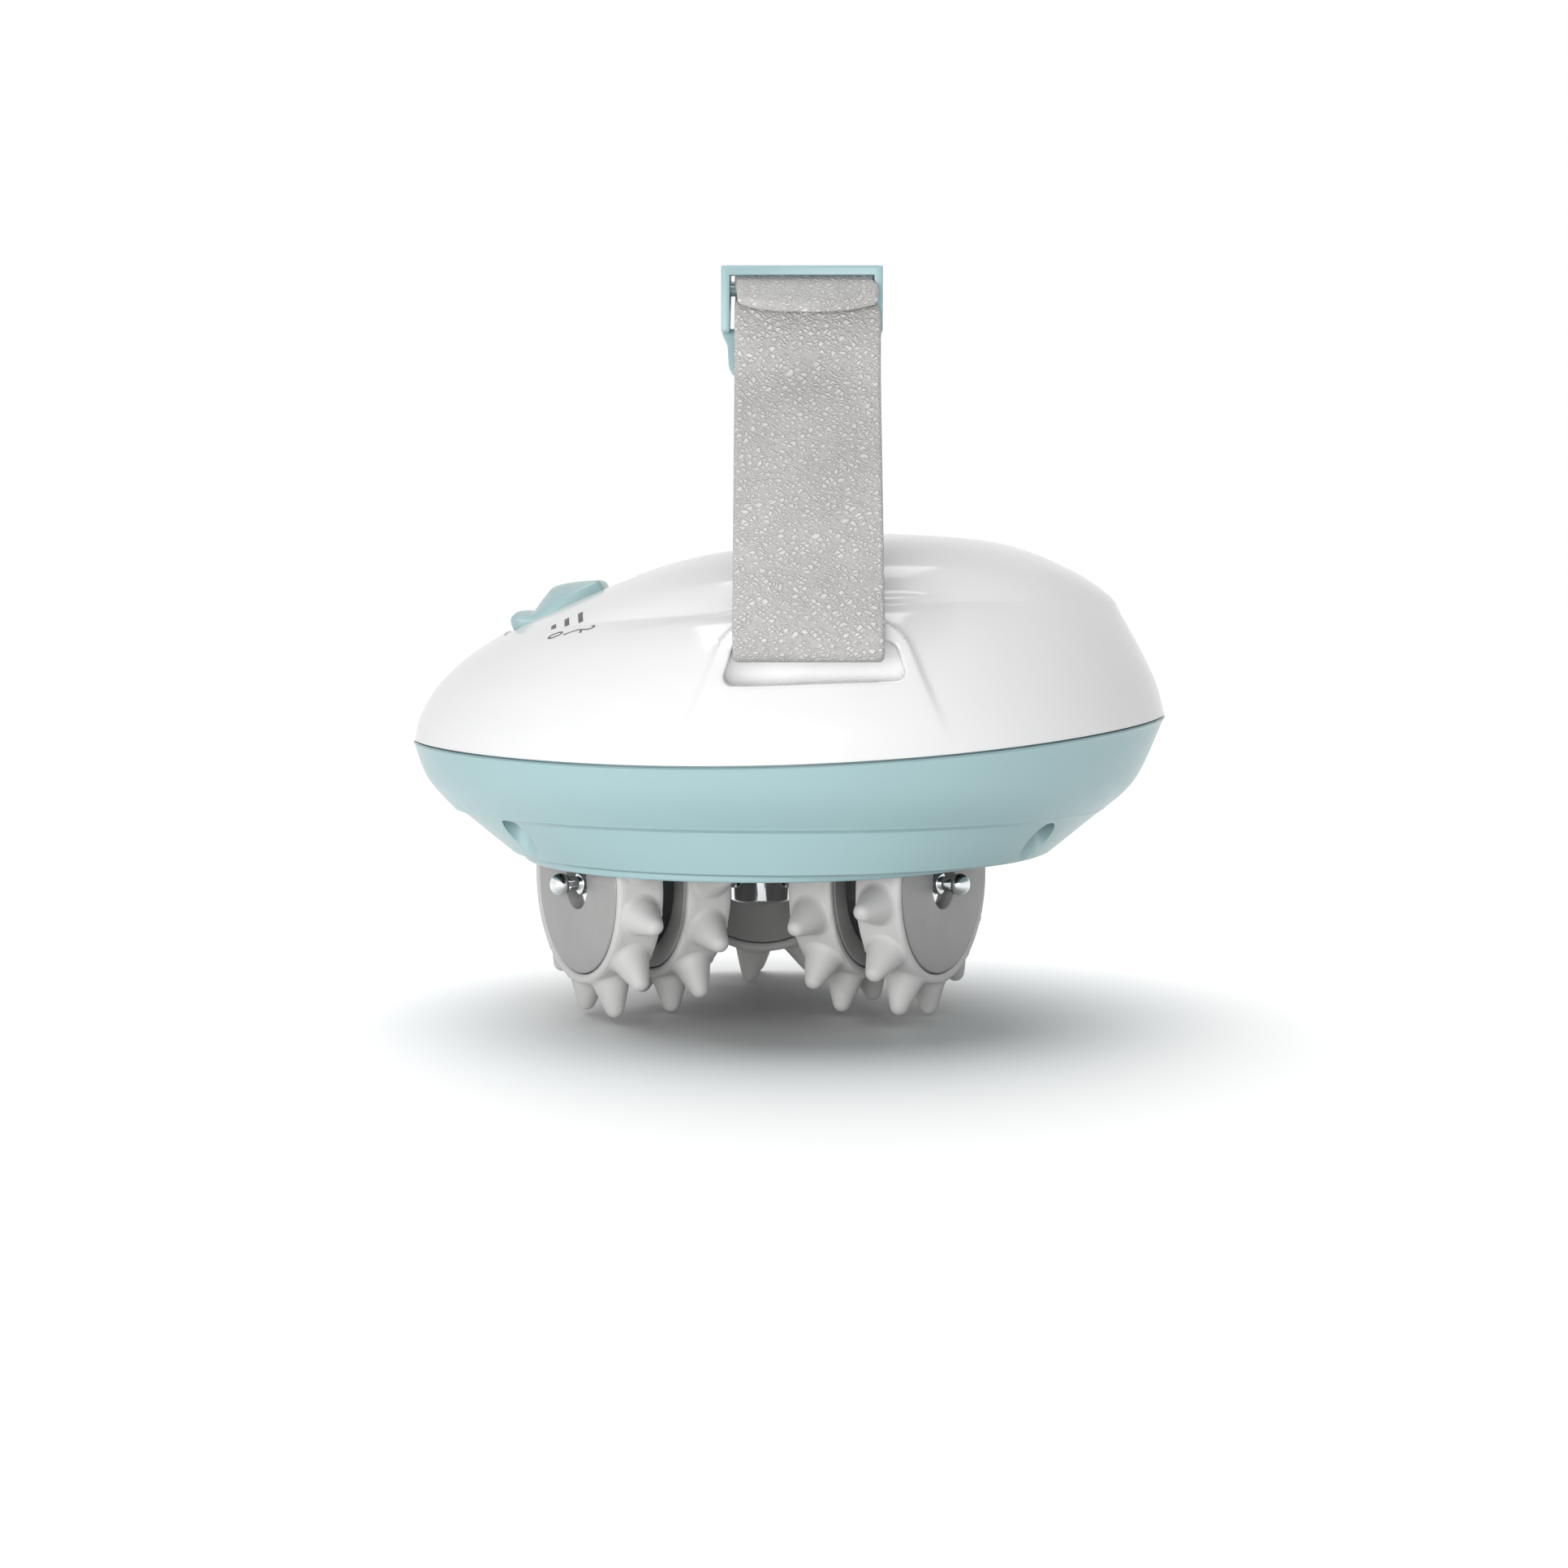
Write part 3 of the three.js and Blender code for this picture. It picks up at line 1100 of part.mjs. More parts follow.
// Buckle: two side rails, three cross bars and a tapered tongue behind the near run
function buckle() {
  const backY = rearBar[0] + BUCKLE_BAR_RADIUS * 1.2;
  const barHalf = BUCKLE_INNER_HALF + BUCKLE_RAIL / 2;
  const rail = outline([
    [buckleFrontY, buckleLowZ],
    [buckleFrontY + BUCKLE_FOOT, buckleLowZ],
    [backY, rearBar[1] - BUCKLE_BAR_RADIUS * 1.4],
    [backY, buckleTopZ],
    [buckleFrontY, buckleTopZ],
  ]);
  const railAt = (x) => prism(rail, "yz", x, x + BUCKLE_RAIL);
  const roundBar = ([y, z]) =>
    cylinderAlongX(BUCKLE_BAR_RADIUS, BUCKLE_X - barHalf, BUCKLE_X + barHalf, z, 12).translate([0, y, 0]);
  const barLow = buckleTopZ - BUCKLE_BAR_RADIUS * 1.8;
  const barBack = buckleFrontY + 2 * BUCKLE_BAR_RADIUS;
  const topBar = box(BUCKLE_X - barHalf, BUCKLE_X + barHalf, buckleFrontY, barBack, barLow, buckleTopZ);
  const tongueHalf = BUCKLE_INNER_HALF + BUCKLE_RAIL;
  const tongueLow = buckleLowZ - BUCKLE_TONGUE_LENGTH;
  const joined = buckleLowZ + BUCKLE_BAR_RADIUS;
  const plan = roundedOutline(
    [
      [BUCKLE_X - tongueHalf + BUCKLE_TONGUE_TAPER, tongueLow],
      [BUCKLE_X + tongueHalf - BUCKLE_TONGUE_TAPER, tongueLow],
      [BUCKLE_X + tongueHalf, joined],
      [BUCKLE_X - tongueHalf, joined],
    ],
    BUCKLE_TONGUE_CORNER,
  );
  const tongueY = buckleFrontY + BUCKLE_FOOT - GAP;
  const leanedOut = TONGUE_LEAN * (BUCKLE_TONGUE_LENGTH + BUCKLE_BAR_RADIUS);
  const side = outline([
    [tongueY, joined],
    [tongueY - leanedOut, tongueLow],
    [tongueY - leanedOut + BUCKLE_TONGUE_THICKNESS, tongueLow],
    [tongueY + BUCKLE_TONGUE_THICKNESS, joined],
  ]);
  const slab = prism(side, "yz", BUCKLE_X - tongueHalf - 1, BUCKLE_X + tongueHalf + 1);
  return railAt(BUCKLE_X - BUCKLE_INNER_HALF - BUCKLE_RAIL)
    .add(railAt(BUCKLE_X + BUCKLE_INNER_HALF))
    .add(topBar)
    .add(roundBar(middleBar))
    .add(roundBar(rearBar))
    .add(prism(plan, "xz", -halfWidth, 0).intersect(slab));
}

place("upper_housing", upperHousing(), WHITE);
place("lower_housing", lowerHousing(), AQUA);
wells.forEach(([x, y], i) => {
  place("housing_screw_" + (i + 1), housingScrew(), STEEL).position.set(x, y, 0);
});
place("base_collar", baseCollar(), AQUA);
place("gear_chassis", gearChassis(), ACETAL);
place("gear_cover", gearCover(), ACETAL);
POSTS.forEach(([x, y], i) => {
  place("gear_cover_screw_" + (i + 1), coverScrew(), STEEL).position.set(x, y, 0);
});
const bush = latheZ(
  [
    [NECK_RADIUS + GAP, flangeZ],
    [BUSH_FLANGE_RADIUS, flangeZ],
    [BUSH_FLANGE_RADIUS, collarTopZ],
    [BUSH_RADIUS, collarTopZ],
    [BUSH_RADIUS, chassisTopZ + GAP],
    [NECK_RADIUS + GAP, chassisTopZ + GAP],
  ],
  20,
);
place("spindle_bush", bush, BRASS).position.set(HEAD_X, 0, 0);
place("motor_can", motorCan(), STEEL).position.set(MOTOR_X, 0, 0);
const idlerPin = cylinder(IDLER_PIN_RADIUS, chassisZ + 2 * GAP, coverTopZ - GAP);
place("idler_pin", idlerPin, STEEL).position.set(idlerX, idlerY, 0);
place("power_inlet", powerInlet(), BLACK);
place("slide_switch", slideSwitch(), BLACK);
place("circuit_board", circuitBoard(), BOARD_GREEN);
place("strap_adjusting_run", strapAdjustingRun(), LEATHER);
place("strap_fixed_run", strapFixedRun(), LEATHER);
place("buckle", buckle(), AQUA);
place("switch_slider", switchSlider(), AQUA);
place("output_gear", outputGear(), ACETAL);
place("idler_gear", idlerGear(), ACETAL);
place("motor_pinion", motorPinion(), BRASS);
place("drive_spindle", driveSpindle(), CHROME);
place("roller_carrier", rollerCarrier(), BLACK);
const retainer = snapRing(NECK_RADIUS - AXLE_GROOVE_DEPTH + GAP, NECK_RADIUS + 2, RING_THICKNESS, 4);
place("spindle_retaining_ring", retainer, STEEL).position.set(HEAD_X, 0, ringZ);

for (const [arm, angle] of Object.entries(ARM_ANGLES)) {
  const group = new THREE.Group();
  group.position.set(HEAD_X, 0, axleZ);
  group.rotation.z = deg(angle);
  massager.add(group);
  const [innerLean, outerLean] = NUB_LEANS[arm];
  place(arm + "_axle", axle(), CHROME, group);
  place(arm + "_axle_clip", axleClip(), CHROME, group);
  place(arm + "_inner_hub", rollerHub(INNER_ROLLER_REACH, false), HUB_GREY, group);
  place(arm + "_inner_tyre", rollerTyre(INNER_ROLLER_REACH, innerLean), RUBBER, group);
  place(arm + "_outer_hub", rollerHub(OUTER_ROLLER_REACH, true), HUB_GREY, group);
  place(arm + "_outer_tyre", rollerTyre(OUTER_ROLLER_REACH, outerLean), RUBBER, group);
}

export default massager;
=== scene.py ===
import math
from contextlib import contextmanager

import bpy
from mathutils import Matrix, Vector
from mathutils.bvhtree import BVHTree


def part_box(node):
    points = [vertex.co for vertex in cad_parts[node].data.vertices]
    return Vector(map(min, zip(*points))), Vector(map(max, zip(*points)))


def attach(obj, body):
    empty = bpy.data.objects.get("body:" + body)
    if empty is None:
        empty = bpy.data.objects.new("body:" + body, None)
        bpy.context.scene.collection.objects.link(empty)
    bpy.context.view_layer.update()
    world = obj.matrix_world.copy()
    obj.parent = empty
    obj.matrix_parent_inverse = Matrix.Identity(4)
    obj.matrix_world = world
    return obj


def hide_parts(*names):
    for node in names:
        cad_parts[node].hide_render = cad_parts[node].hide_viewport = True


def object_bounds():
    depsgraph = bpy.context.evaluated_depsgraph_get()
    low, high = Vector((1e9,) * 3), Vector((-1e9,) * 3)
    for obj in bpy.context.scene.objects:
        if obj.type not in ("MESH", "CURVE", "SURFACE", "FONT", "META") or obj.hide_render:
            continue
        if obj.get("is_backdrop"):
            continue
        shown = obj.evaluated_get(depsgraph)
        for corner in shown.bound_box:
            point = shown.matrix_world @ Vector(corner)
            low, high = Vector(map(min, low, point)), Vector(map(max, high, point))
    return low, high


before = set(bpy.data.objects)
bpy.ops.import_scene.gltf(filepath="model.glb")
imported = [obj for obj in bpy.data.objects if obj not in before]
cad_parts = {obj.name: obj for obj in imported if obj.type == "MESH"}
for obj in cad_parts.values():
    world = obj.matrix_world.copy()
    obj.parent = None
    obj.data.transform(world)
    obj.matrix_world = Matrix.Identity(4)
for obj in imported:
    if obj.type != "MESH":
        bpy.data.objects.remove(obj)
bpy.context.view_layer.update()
MM = 0.001

# Camera, at the place and height that the photograph was taken from, with its lens.
PHOTO_SIDE = 1932
FOCAL_PIXELS = 2731
HORIZON_ROW = 740
EYE = (-1.0, -444, 80.7)
camera_data = bpy.data.cameras.new("camera")
camera_data.sensor_width = 36
camera_data.lens = camera_data.sensor_width * FOCAL_PIXELS / PHOTO_SIDE
camera = bpy.data.objects.new("camera", camera_data)
bpy.context.scene.collection.objects.link(camera)
camera.location = Vector(EYE) * MM
tip_down = math.atan((PHOTO_SIDE / 2 - HORIZON_ROW) / FOCAL_PIXELS)
camera.rotation_euler = (math.pi / 2 - tip_down, 0, 0)
camera_data.clip_start = 0.01
camera_data.clip_end = 50
bpy.context.scene.camera = camera

# Studio light: two soft boxes close in front, one of them on the left, and a larger one high
# overhead, in a white room whose diffuse light is weaker than its backdrop and reflections look.
LIGHT_AIM = (0, 0, 50)
# Each box: its place and its side in millimetres, and its power in watts
LIGHTS = {
    "left_box": ((-258, -368, 84), 200, 0.56),
    "front_box": ((-56, -396, 81), 200, 0.68),
    "top_box": ((0, 0, 500), 300, 0.9),
}
lamps = []
for name, (place, side, power) in LIGHTS.items():
    light = bpy.data.lights.new(name, "AREA")
    light.size = side * MM
    light.energy = power
    lamp = bpy.data.objects.new(name, light)
    bpy.context.scene.collection.objects.link(lamp)
    lamp.location = Vector(place) * MM
    aim = Vector(LIGHT_AIM) - Vector(place)
    lamp.rotation_euler = aim.to_track_quat("-Z", "Y").to_euler()
    lamp.visible_camera = False
    lamps.append(lamp)
bpy.context.scene.view_settings.view_transform = "Standard"
ROOM = 0.3
world = bpy.data.worlds.new("white_room")
bpy.context.scene.world = world
world.use_nodes = True
room = world.node_tree
backdrop = room.nodes["Background"]
backdrop.inputs["Color"].default_value = (1, 1, 1, 1)
seen = room.nodes.new("ShaderNodeLightPath")
either = room.nodes.new("ShaderNodeMath")
either.operation = "MAXIMUM"
room.links.new(seen.outputs["Is Camera Ray"], either.inputs[0])
room.links.new(seen.outputs["Is Glossy Ray"], either.inputs[1])
bright = room.nodes.new("ShaderNodeMapRange")
bright.inputs["To Min"].default_value = ROOM
bright.inputs["To Max"].default_value = 1.0
room.links.new(either.outputs[0], bright.inputs["Value"])
room.links.new(bright.outputs[0], backdrop.inputs["Strength"])


# Shader building: Value wraps one output so that sums can be written as sums, and Finish is one
# material, with the pattern in the piece's own place and all even values on the shader itself.
class Value:
    def __init__(self, finish, socket):
        self.finish = finish
        self.socket = socket

    def sum(self, operation, first, second):
        return self.finish.node("ShaderNodeMath", {"operation": operation}, {0: first, 1: second})

    def __add__(self, other):
        return self.sum("ADD", self, other)

    def __mul__(self, other):
        return self.sum("MULTIPLY", self, other)

    def __rmul__(self, other):
        return self.sum("MULTIPLY", other, self)


class Finish:
    def __init__(self, name, color, roughness, fixed=None):
        self.material = bpy.data.materials.new(name)
        self.material.use_nodes = True
        self.tree = self.material.node_tree
        self.shader = self.tree.nodes["Principled BSDF"]
        self.set({"Base Color": (*color, 1), "Roughness": roughness, **(fixed or {})})
        self.place = self.node("ShaderNodeTexCoord", out="Object")

    def node(self, kind, settings=None, inputs=None, out=0):
        made = self.tree.nodes.new(kind)
        for key, value in (settings or {}).items():
            setattr(made, key, value)
        for key, value in (inputs or {}).items():
            self.feed(made.inputs[key], value)
        return Value(self, made.outputs[out])

    def feed(self, socket, value):
        if isinstance(value, Value):
            self.tree.links.new(value.socket, socket)
        else:
            socket.default_value = value

    def set(self, inputs):
        for key, value in inputs.items():
            self.feed(self.shader.inputs[key], value)

    def noise(self, scale, detail=3.0, rough=0.55):
        inputs = {"Vector": self.place, "Scale": scale, "Detail": detail, "Roughness": rough}
        return self.node("ShaderNodeTexNoise", None, inputs)

    def ramp(self, value, stops):
        made = self.tree.nodes.new("ShaderNodeValToRGB")
        self.feed(made.inputs[0], value)
        for element, (place, color) in zip(made.color_ramp.elements, stops):
            element.position = place
            element.color = (*color, 1)
        return Value(self, made.outputs[0])

    def span(self, value, low, high, to_low=0.0, to_high=1.0):
        inputs = {0: value, 1: low, 2: high, 3: to_low, 4: to_high}
        return self.node("ShaderNodeMapRange", None, inputs)

    def mix(self, factor, first, second):
        inputs = {0: factor, 6: first, 7: second}
        return self.node("ShaderNodeMix", {"data_type": "RGBA"}, inputs, 2)

    def bump(self, height, distance, strength=1.0):
        inputs = {"Height": height, "Distance": distance, "Strength": strength}
        self.set({"Normal": self.node("ShaderNodeBump", None, inputs)})


# Floor: a wide pale sheet under the massager. A broad overhead light behind and to the left of
# it is kept to the sheet, which the boxes leave alone, so that the shadow falls soft and forward.
FLOOR_SIDE = 30
FLOOR_DROP = 0.0002
OVERHEAD_STRENGTH = 3.1
OVERHEAD_SPREAD = math.radians(78)
OVERHEAD_FROM = (-0.15, 0.4, 1)
bpy.ops.object.select_all(action="DESELECT")
bpy.ops.mesh.primitive_plane_add(size=FLOOR_SIDE, location=(0, 0, -FLOOR_DROP))
floor = bpy.context.object
floor.name = "floor"
floor_finish = Finish("pale_floor", (0.9, 0.9, 0.9), 0.6)
floor.data.materials.append(floor_finish.material)
floor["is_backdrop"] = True
overhead_data = bpy.data.lights.new("overhead", "SUN")
overhead_data.energy = OVERHEAD_STRENGTH
overhead_data.angle = OVERHEAD_SPREAD
overhead = bpy.data.objects.new("overhead", overhead_data)
bpy.context.scene.collection.objects.link(overhead)
overhead.rotation_euler = Vector(OVERHEAD_FROM).to_track_quat("Z", "Y").to_euler()
sheet_only = bpy.data.collections.new("sheet_only")
sheet_only.objects.link(floor)
overhead.light_linking.receiver_collection = sheet_only
all_but_sheet = bpy.data.collections.new("all_but_sheet")
all_but_sheet.objects.link(floor)
all_but_sheet.collection_objects[0].light_linking.link_state = "EXCLUDE"
for lamp in lamps:
    lamp.light_linking.receiver_collection = all_but_sheet


# Upper housing: the white gloss shell, injection moulded in one piece with the two strap anchors.
# It seats on the lower housing's lip and is screwed down from below.
shell_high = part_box("upper_housing")[1]
half_length = shell_high.x / MM
half_width = shell_high.y / MM
crown_z = shell_high.z / MM
CROWN_X = 20
PARTING = {"front": 53.5, "side": 52.1, "rear": 58.5}
PARTING_GAP = 0.4
UPPER_WALL = 2.4
LIP_HEIGHT = 1.8
LIP_INSET = UPPER_WALL / 2 + 0.3
PAD_X = 4.4
PAD_TOP_Z = 77.4
PAD_FOOT_Z = 55.5
PAD_TOP_HALF = 15.8
PAD_FOOT_HALF = 24.6
PAD_TOP_Y = 53.7
PAD_CORNER = 4.6
PAD_WAIST = 0.3
PAD_ANGLES = (math.radians(58), math.radians(122))
BRIDGE = 3.0
SLOT_DEPTH = 3.3
SLOT_HALF = 14.4
# Corners of the window from the pad's middle, each with its height and radius
WINDOW = [(-16.6, 65.75, 1.5), (16.4, 66.85, 1.5), (14.2, 73.6, 2.6), (-14, 73.6, 2.6)]
WINDOW_EDGE = 0.7
# Rings of the window's cutter, as shares of the rim's width below the pad's face
CUTTER_DEPTHS = (-6.0, -0.3, 0.0, 0.12, 0.3, 0.6, 1.0)
POCKET_HALF = 18
POCKET_LOW_Z = 64.8
SWITCH_PLACE = (-42.3, 0, 78.9)
SWITCH_SLOPE = math.radians(25)
KNOB_LENGTH = 21.2
KNOB_WIDTH = 24
SWITCH_TRAVEL = 5.8
INLET_Z = 65.5
INLET_FACE_X = 69.5
INLET_RECESS = 5.0
INLET_WALL = 1.6
INLET_HOLE = 4.1
BOSS_DEPTH = 3.4
GAP = 0.3
# Reach to the front, rear and side, rise at each, and how far a pad stands out there
FLANK = [
    (1, 1, 1, 0, 0, 0, 0),
    (0.981, 0.977, 0.98, 0.116, 0.155, 0.163, 0.3),
    (0.932, 0.945, 0.927, 0.264, 0.322, 0.313, 1.2),
    (0.857, 0.908, 0.843, 0.395, 0.484, 0.459, 3.2),
    (0.798, 0.882, 0.757, 0.469, 0.599, 0.555, 8.3),
    (0.756, 0.866, 0.687, 0.516, 0.652, 0.623, 12.5),
]
CROWN = [
    FLANK[-1],
    (0.696, 0.835, 0.657, 0.57, 0.733, 0.682, 14.3),
    (0.582, 0.763, 0.603, 0.664, 0.819, 0.78, 17.5),
    (0.418, 0.643, 0.475, 0.788, 0.905, 0.893, 20),
    (0.187, 0.509, 0.29, 0.904, 0.962, 0.963, 30),
    (-CROWN_X / half_length, CROWN_X / half_length, 0, 1, 1, 1, 30),
]


def along(levels, t):
    """The level at t, on a smooth curve through the given levels."""
    i = min(int(t), len(levels) - 2)
    s = t - i
    before = levels[max(i - 1, 0)]
    after = levels[min(i + 2, len(levels) - 1)]
    out = []
    for a, b, c, d in zip(before, levels[i], levels[i + 1], after):
        out.append(b + 0.5 * s * (c - a + s * (2 * a - 5 * b + 4 * c - d + s * (3 * (b - c) + d - a))))
    return out


def oval(level, angle, out=0.0, sink=0.0):
    """A point of the body at a level and an angle round it, moved out or down by so much."""
    c, s = math.cos(angle), math.sin(angle)
    front = -level[0] * half_length - out
    rear = level[1] * half_length + out
    heights = []
    for part, rise in zip(("front", "side", "rear"), level[3:6]):
        heights.append(PARTING[part] + rise * (crown_z - PARTING[part]))
    z_front, z_side, z_rear = heights
    z = z_side + (z_rear - z_front) / 2 * c + ((z_rear + z_front) / 2 - z_side) * c * c
    x = (front + rear) / 2 + (rear - front) / 2 * c
    return Vector((x, (level[2] * half_width + out) * s, z - sink))


def smooth_step(x, low, high):
    t = min(max((x - low) / (high - low), 0.0), 1.0)
    return t * t * (3 - 2 * t)


# The flank swells a little round each anchor, up to a crisp edge that rises to the rear
SWELL = 1.9
SWELL_HEIGHT = 17
SWELL_FRONT = (-34, -14)
SWELL_REAR = (18, 31)
SWELL_EDGE = [(-36, 73.9), (-33, 74.4), (-11, 77.9), (6, 80.2), (18, 81.1), (32, 81.2), (40, 81.2)]


def swell(x, z):
    """How far the flank stands out round the anchor at a place on it."""
    edge = SWELL_EDGE[0][1]
    for (x0, z0), (x1, z1) in zip(SWELL_EDGE, SWELL_EDGE[1:]):
        if x >= x0:
            edge = z0 + (z1 - z0) * min((x - x0) / (x1 - x0), 1)
    ends = smooth_step(x, *SWELL_FRONT) * (1 - smooth_step(x, *SWELL_REAR))
    below = smooth_step(z, edge - SWELL_HEIGHT, edge - 1)
    return SWELL * ends * below * (1 - smooth_step(z, edge - 0.1, edge + 1.3))


def pad_share(x, z):
    """How much a point belongs to the pad: 1 on its face, 0 outside its rounded outline."""
    up = (z - PAD_FOOT_Z) / (PAD_TOP_Z - PAD_FOOT_Z)
    waist = PAD_WAIST * math.sin(math.pi * min(max(up, 0), 1))
    half = PAD_FOOT_HALF + (PAD_TOP_HALF - PAD_FOOT_HALF) * up - waist
    past_side = max(PAD_CORNER - (half - abs(x - PAD_X)), 0)
    past_top = max(PAD_CORNER - (PAD_TOP_Z - z), 0)
    inside = PAD_CORNER - math.hypot(past_side, past_top)
    return smooth_step(inside, -0.55, 0.75)


# Points of a skin closer than this, in metres, are one
SAME_PLACE = 1e-7


def skin(name, rings, closed=False):
    """A mesh over rings of points in millimetres; a ring of one point closes an end."""
    points = []
    starts = []
    for ring in rings:
        starts.append(len(points))
        points.extend(Vector(p) * MM for p in ring)
    faces = []
    count = max(len(ring) for ring in rings)
    for i in range(len(rings) if closed else len(rings) - 1):
        j = (i + 1) % len(rings)
        for k in range(count):
            m = (k + 1) % count
            low = [starts[i]] if len(rings[i]) == 1 else [starts[i] + k, starts[i] + m]
            up = [starts[j]] if len(rings[j]) == 1 else [starts[j] + m, starts[j] + k]
            faces.append(low + up)
    mesh = bpy.data.meshes.new(name)
    mesh.from_pydata(points, [], faces)
    piece = bpy.data.objects.new(name, mesh)
    bpy.context.scene.collection.objects.link(piece)
    with all_selected(piece):
        bpy.ops.mesh.remove_doubles(threshold=SAME_PLACE)
        bpy.ops.mesh.normals_make_consistent(inside=False)
    return piece


def middle_of(ring):
    """The middle of a ring, as a ring of one point that closes an end."""
    return [sum((Vector(p) for p in ring), Vector()) / len(ring)]


def only(piece):
    """Makes one piece the active and only selected object."""
    bpy.ops.object.select_all(action="DESELECT")
    piece.select_set(True)
    bpy.context.view_layer.objects.active = piece


@contextmanager
def all_selected(piece):
    """Opens one piece in edit mode with all of its mesh selected, and closes it again."""
    only(piece)
    bpy.ops.object.mode_set(mode="EDIT")
    bpy.ops.mesh.select_all(action="SELECT")
    yield
    bpy.ops.object.mode_set(mode="OBJECT")


def cut(piece, tool, operation="DIFFERENCE"):
    """Cuts one piece with another, or joins it, and throws the tool away."""
    only(piece)
    bpy.ops.object.modifier_add(type="BOOLEAN")
    step = piece.modifiers[-1]
    step.operation = operation
    step.object = tool
    step.solver = "EXACT"
    bpy.ops.object.modifier_apply(modifier=step.name)
    bpy.data.objects.remove(tool)


def block(name, low, high):
    """A box between two corners, in millimetres."""
    bpy.ops.object.select_all(action="DESELECT")
    bpy.ops.mesh.primitive_cube_add(size=1)
    piece = bpy.context.object
    piece.name = name
    size = Vector(high) - Vector(low)
    middle = (Vector(high) + Vector(low)) / 2
    piece.data.transform(Matrix.Translation(middle * MM) @ Matrix.Diagonal((*(size * MM), 1)))
    return piece


def rounded(points, steps=4):
    """A closed outline whose corners (u, v, radius) are drawn as arcs."""
    out = []
    for i, (u, v, radius) in enumerate(points):
        corner = Vector((u, v))
        sides = [Vector(points[i - 1][:2]) - corner, Vector(points[(i + 1) % len(points)][:2]) - corner]
        if radius <= 0:
            out.append(corner)
            continue
        half = sides[0].angle(sides[1]) / 2
        reach = min(radius / math.tan(half), 0.48 * sides[0].length, 0.48 * sides[1].length)
        a = corner + sides[0].normalized() * reach
        b = corner + sides[1].normalized() * reach
        middle = corner + (a + b - 2 * corner).normalized() * (reach / math.cos(half))
        r = reach * math.tan(half)
        start, end = a - middle, b - middle
        for k in range(steps + 1):
            turned_to = start.lerp(end, k / steps).normalized() * r
            out.append(middle + turned_to)
    return out


def dense(outline, step):
    """The closed outline with points added along its long sides."""
    out = []
    for i, p in enumerate(outline):
        q = outline[(i + 1) % len(outline)]
        parts = int((q - p).length / step) + 1
        out += [p.lerp(q, k / parts) for k in range(parts)]
    return out


def shade(piece, angle=35):
    """Smooth shading, with edges sharper than the angle kept."""
    only(piece)
    bpy.ops.object.shade_smooth_by_angle(angle=math.radians(angle))


def fit(piece, finish, body, slot, *nodes):
    """Paints a piece, lets it ride on its body and has it stand for its solids."""
    piece.data.materials.clear()
    piece.data.materials.append(finish.material)
    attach(piece, body)
    if nodes:
        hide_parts(*nodes)


# Angles round the body lie closer together where the pads are
angles = []
for side in (0, 1):
    a = 0.0
    while a < math.pi - 1e-6:
        angles.append(a + side * math.pi)
        near_pad = PAD_ANGLES[0] < (a if side == 0 else math.pi - a) < PAD_ANGLES[1]
        a += math.radians(0.5 if near_pad else 2.5)
stations = [(FLANK, 0.085 * i) for i in range(56)] + [(FLANK, 4.8 + 0.1 * i) for i in range(2)]
stations += [(CROWN, 0.1 * i) for i in range(50)]
outer = []
for n, (levels, t) in enumerate(stations):
    level = along(levels, t)
    ring = []
    for angle in angles:
        bare = oval(level, angle)
        bare = oval(level, angle, swell(bare.x, bare.z))
        stood = oval(level, angle, level[6])
        fade = smooth_step(stood.z, PAD_FOOT_Z - 1.5, PAD_FOOT_Z + 3)
        share = pad_share(stood.x, stood.z) * fade if abs(bare.y) > 5 else 0
        point = bare.lerp(stood, share)
        if n == 0:
            point.z += PARTING_GAP / 2
        ring.append(point)
    outer.append(ring)
crown = [[(CROWN_X, 0, crown_z)]]
upper = skin("upper_housing_shell", [[(0, 0, 55)]] + outer + crown)

coarse = [2 * math.pi * k / 120 for k in range(120)]


def inner_ring(levels, t, inset, lift=0.0):
    """A ring inside the shell's outer face, so far in from it and so far up."""
    return [oval(along(levels, t), angle, -inset, -lift) for angle in coarse]


rim = PARTING_GAP / 2
cavity_rings = [[(0, 0, 40)], inner_ring(FLANK, 0, LIP_INSET - GAP, -9)]
cavity_rings.append(inner_ring(FLANK, 0, LIP_INSET - GAP, LIP_HEIGHT + 2 * rim))
cavity_rings.append(inner_ring(FLANK, 0, UPPER_WALL + 0.5, LIP_HEIGHT + 2 * rim))
cavity_rings += [inner_ring(FLANK, 0.6 + 0.4 * i, UPPER_WALL, -0.1 * i) for i in range(11)]
cavity_rings += [inner_ring(CROWN, 0.2 + 0.4 * i, UPPER_WALL, -1.3 - 0.1 * i) for i in range(11)]
cavity = skin("cavity", cavity_rings + [[(CROWN_X, 0, crown_z - UPPER_WALL)]])
slot_back = PAD_TOP_Y - BRIDGE - SLOT_DEPTH
for side in (-1, 1):
    walls = sorted((side * (slot_back - 1.5), side * half_width))
    low = (PAD_X - POCKET_HALF, walls[0], POCKET_LOW_Z)
    cut(cavity, block("pocket", low, (PAD_X + POCKET_HALF, walls[1], 84)))
cut(upper, cavity)

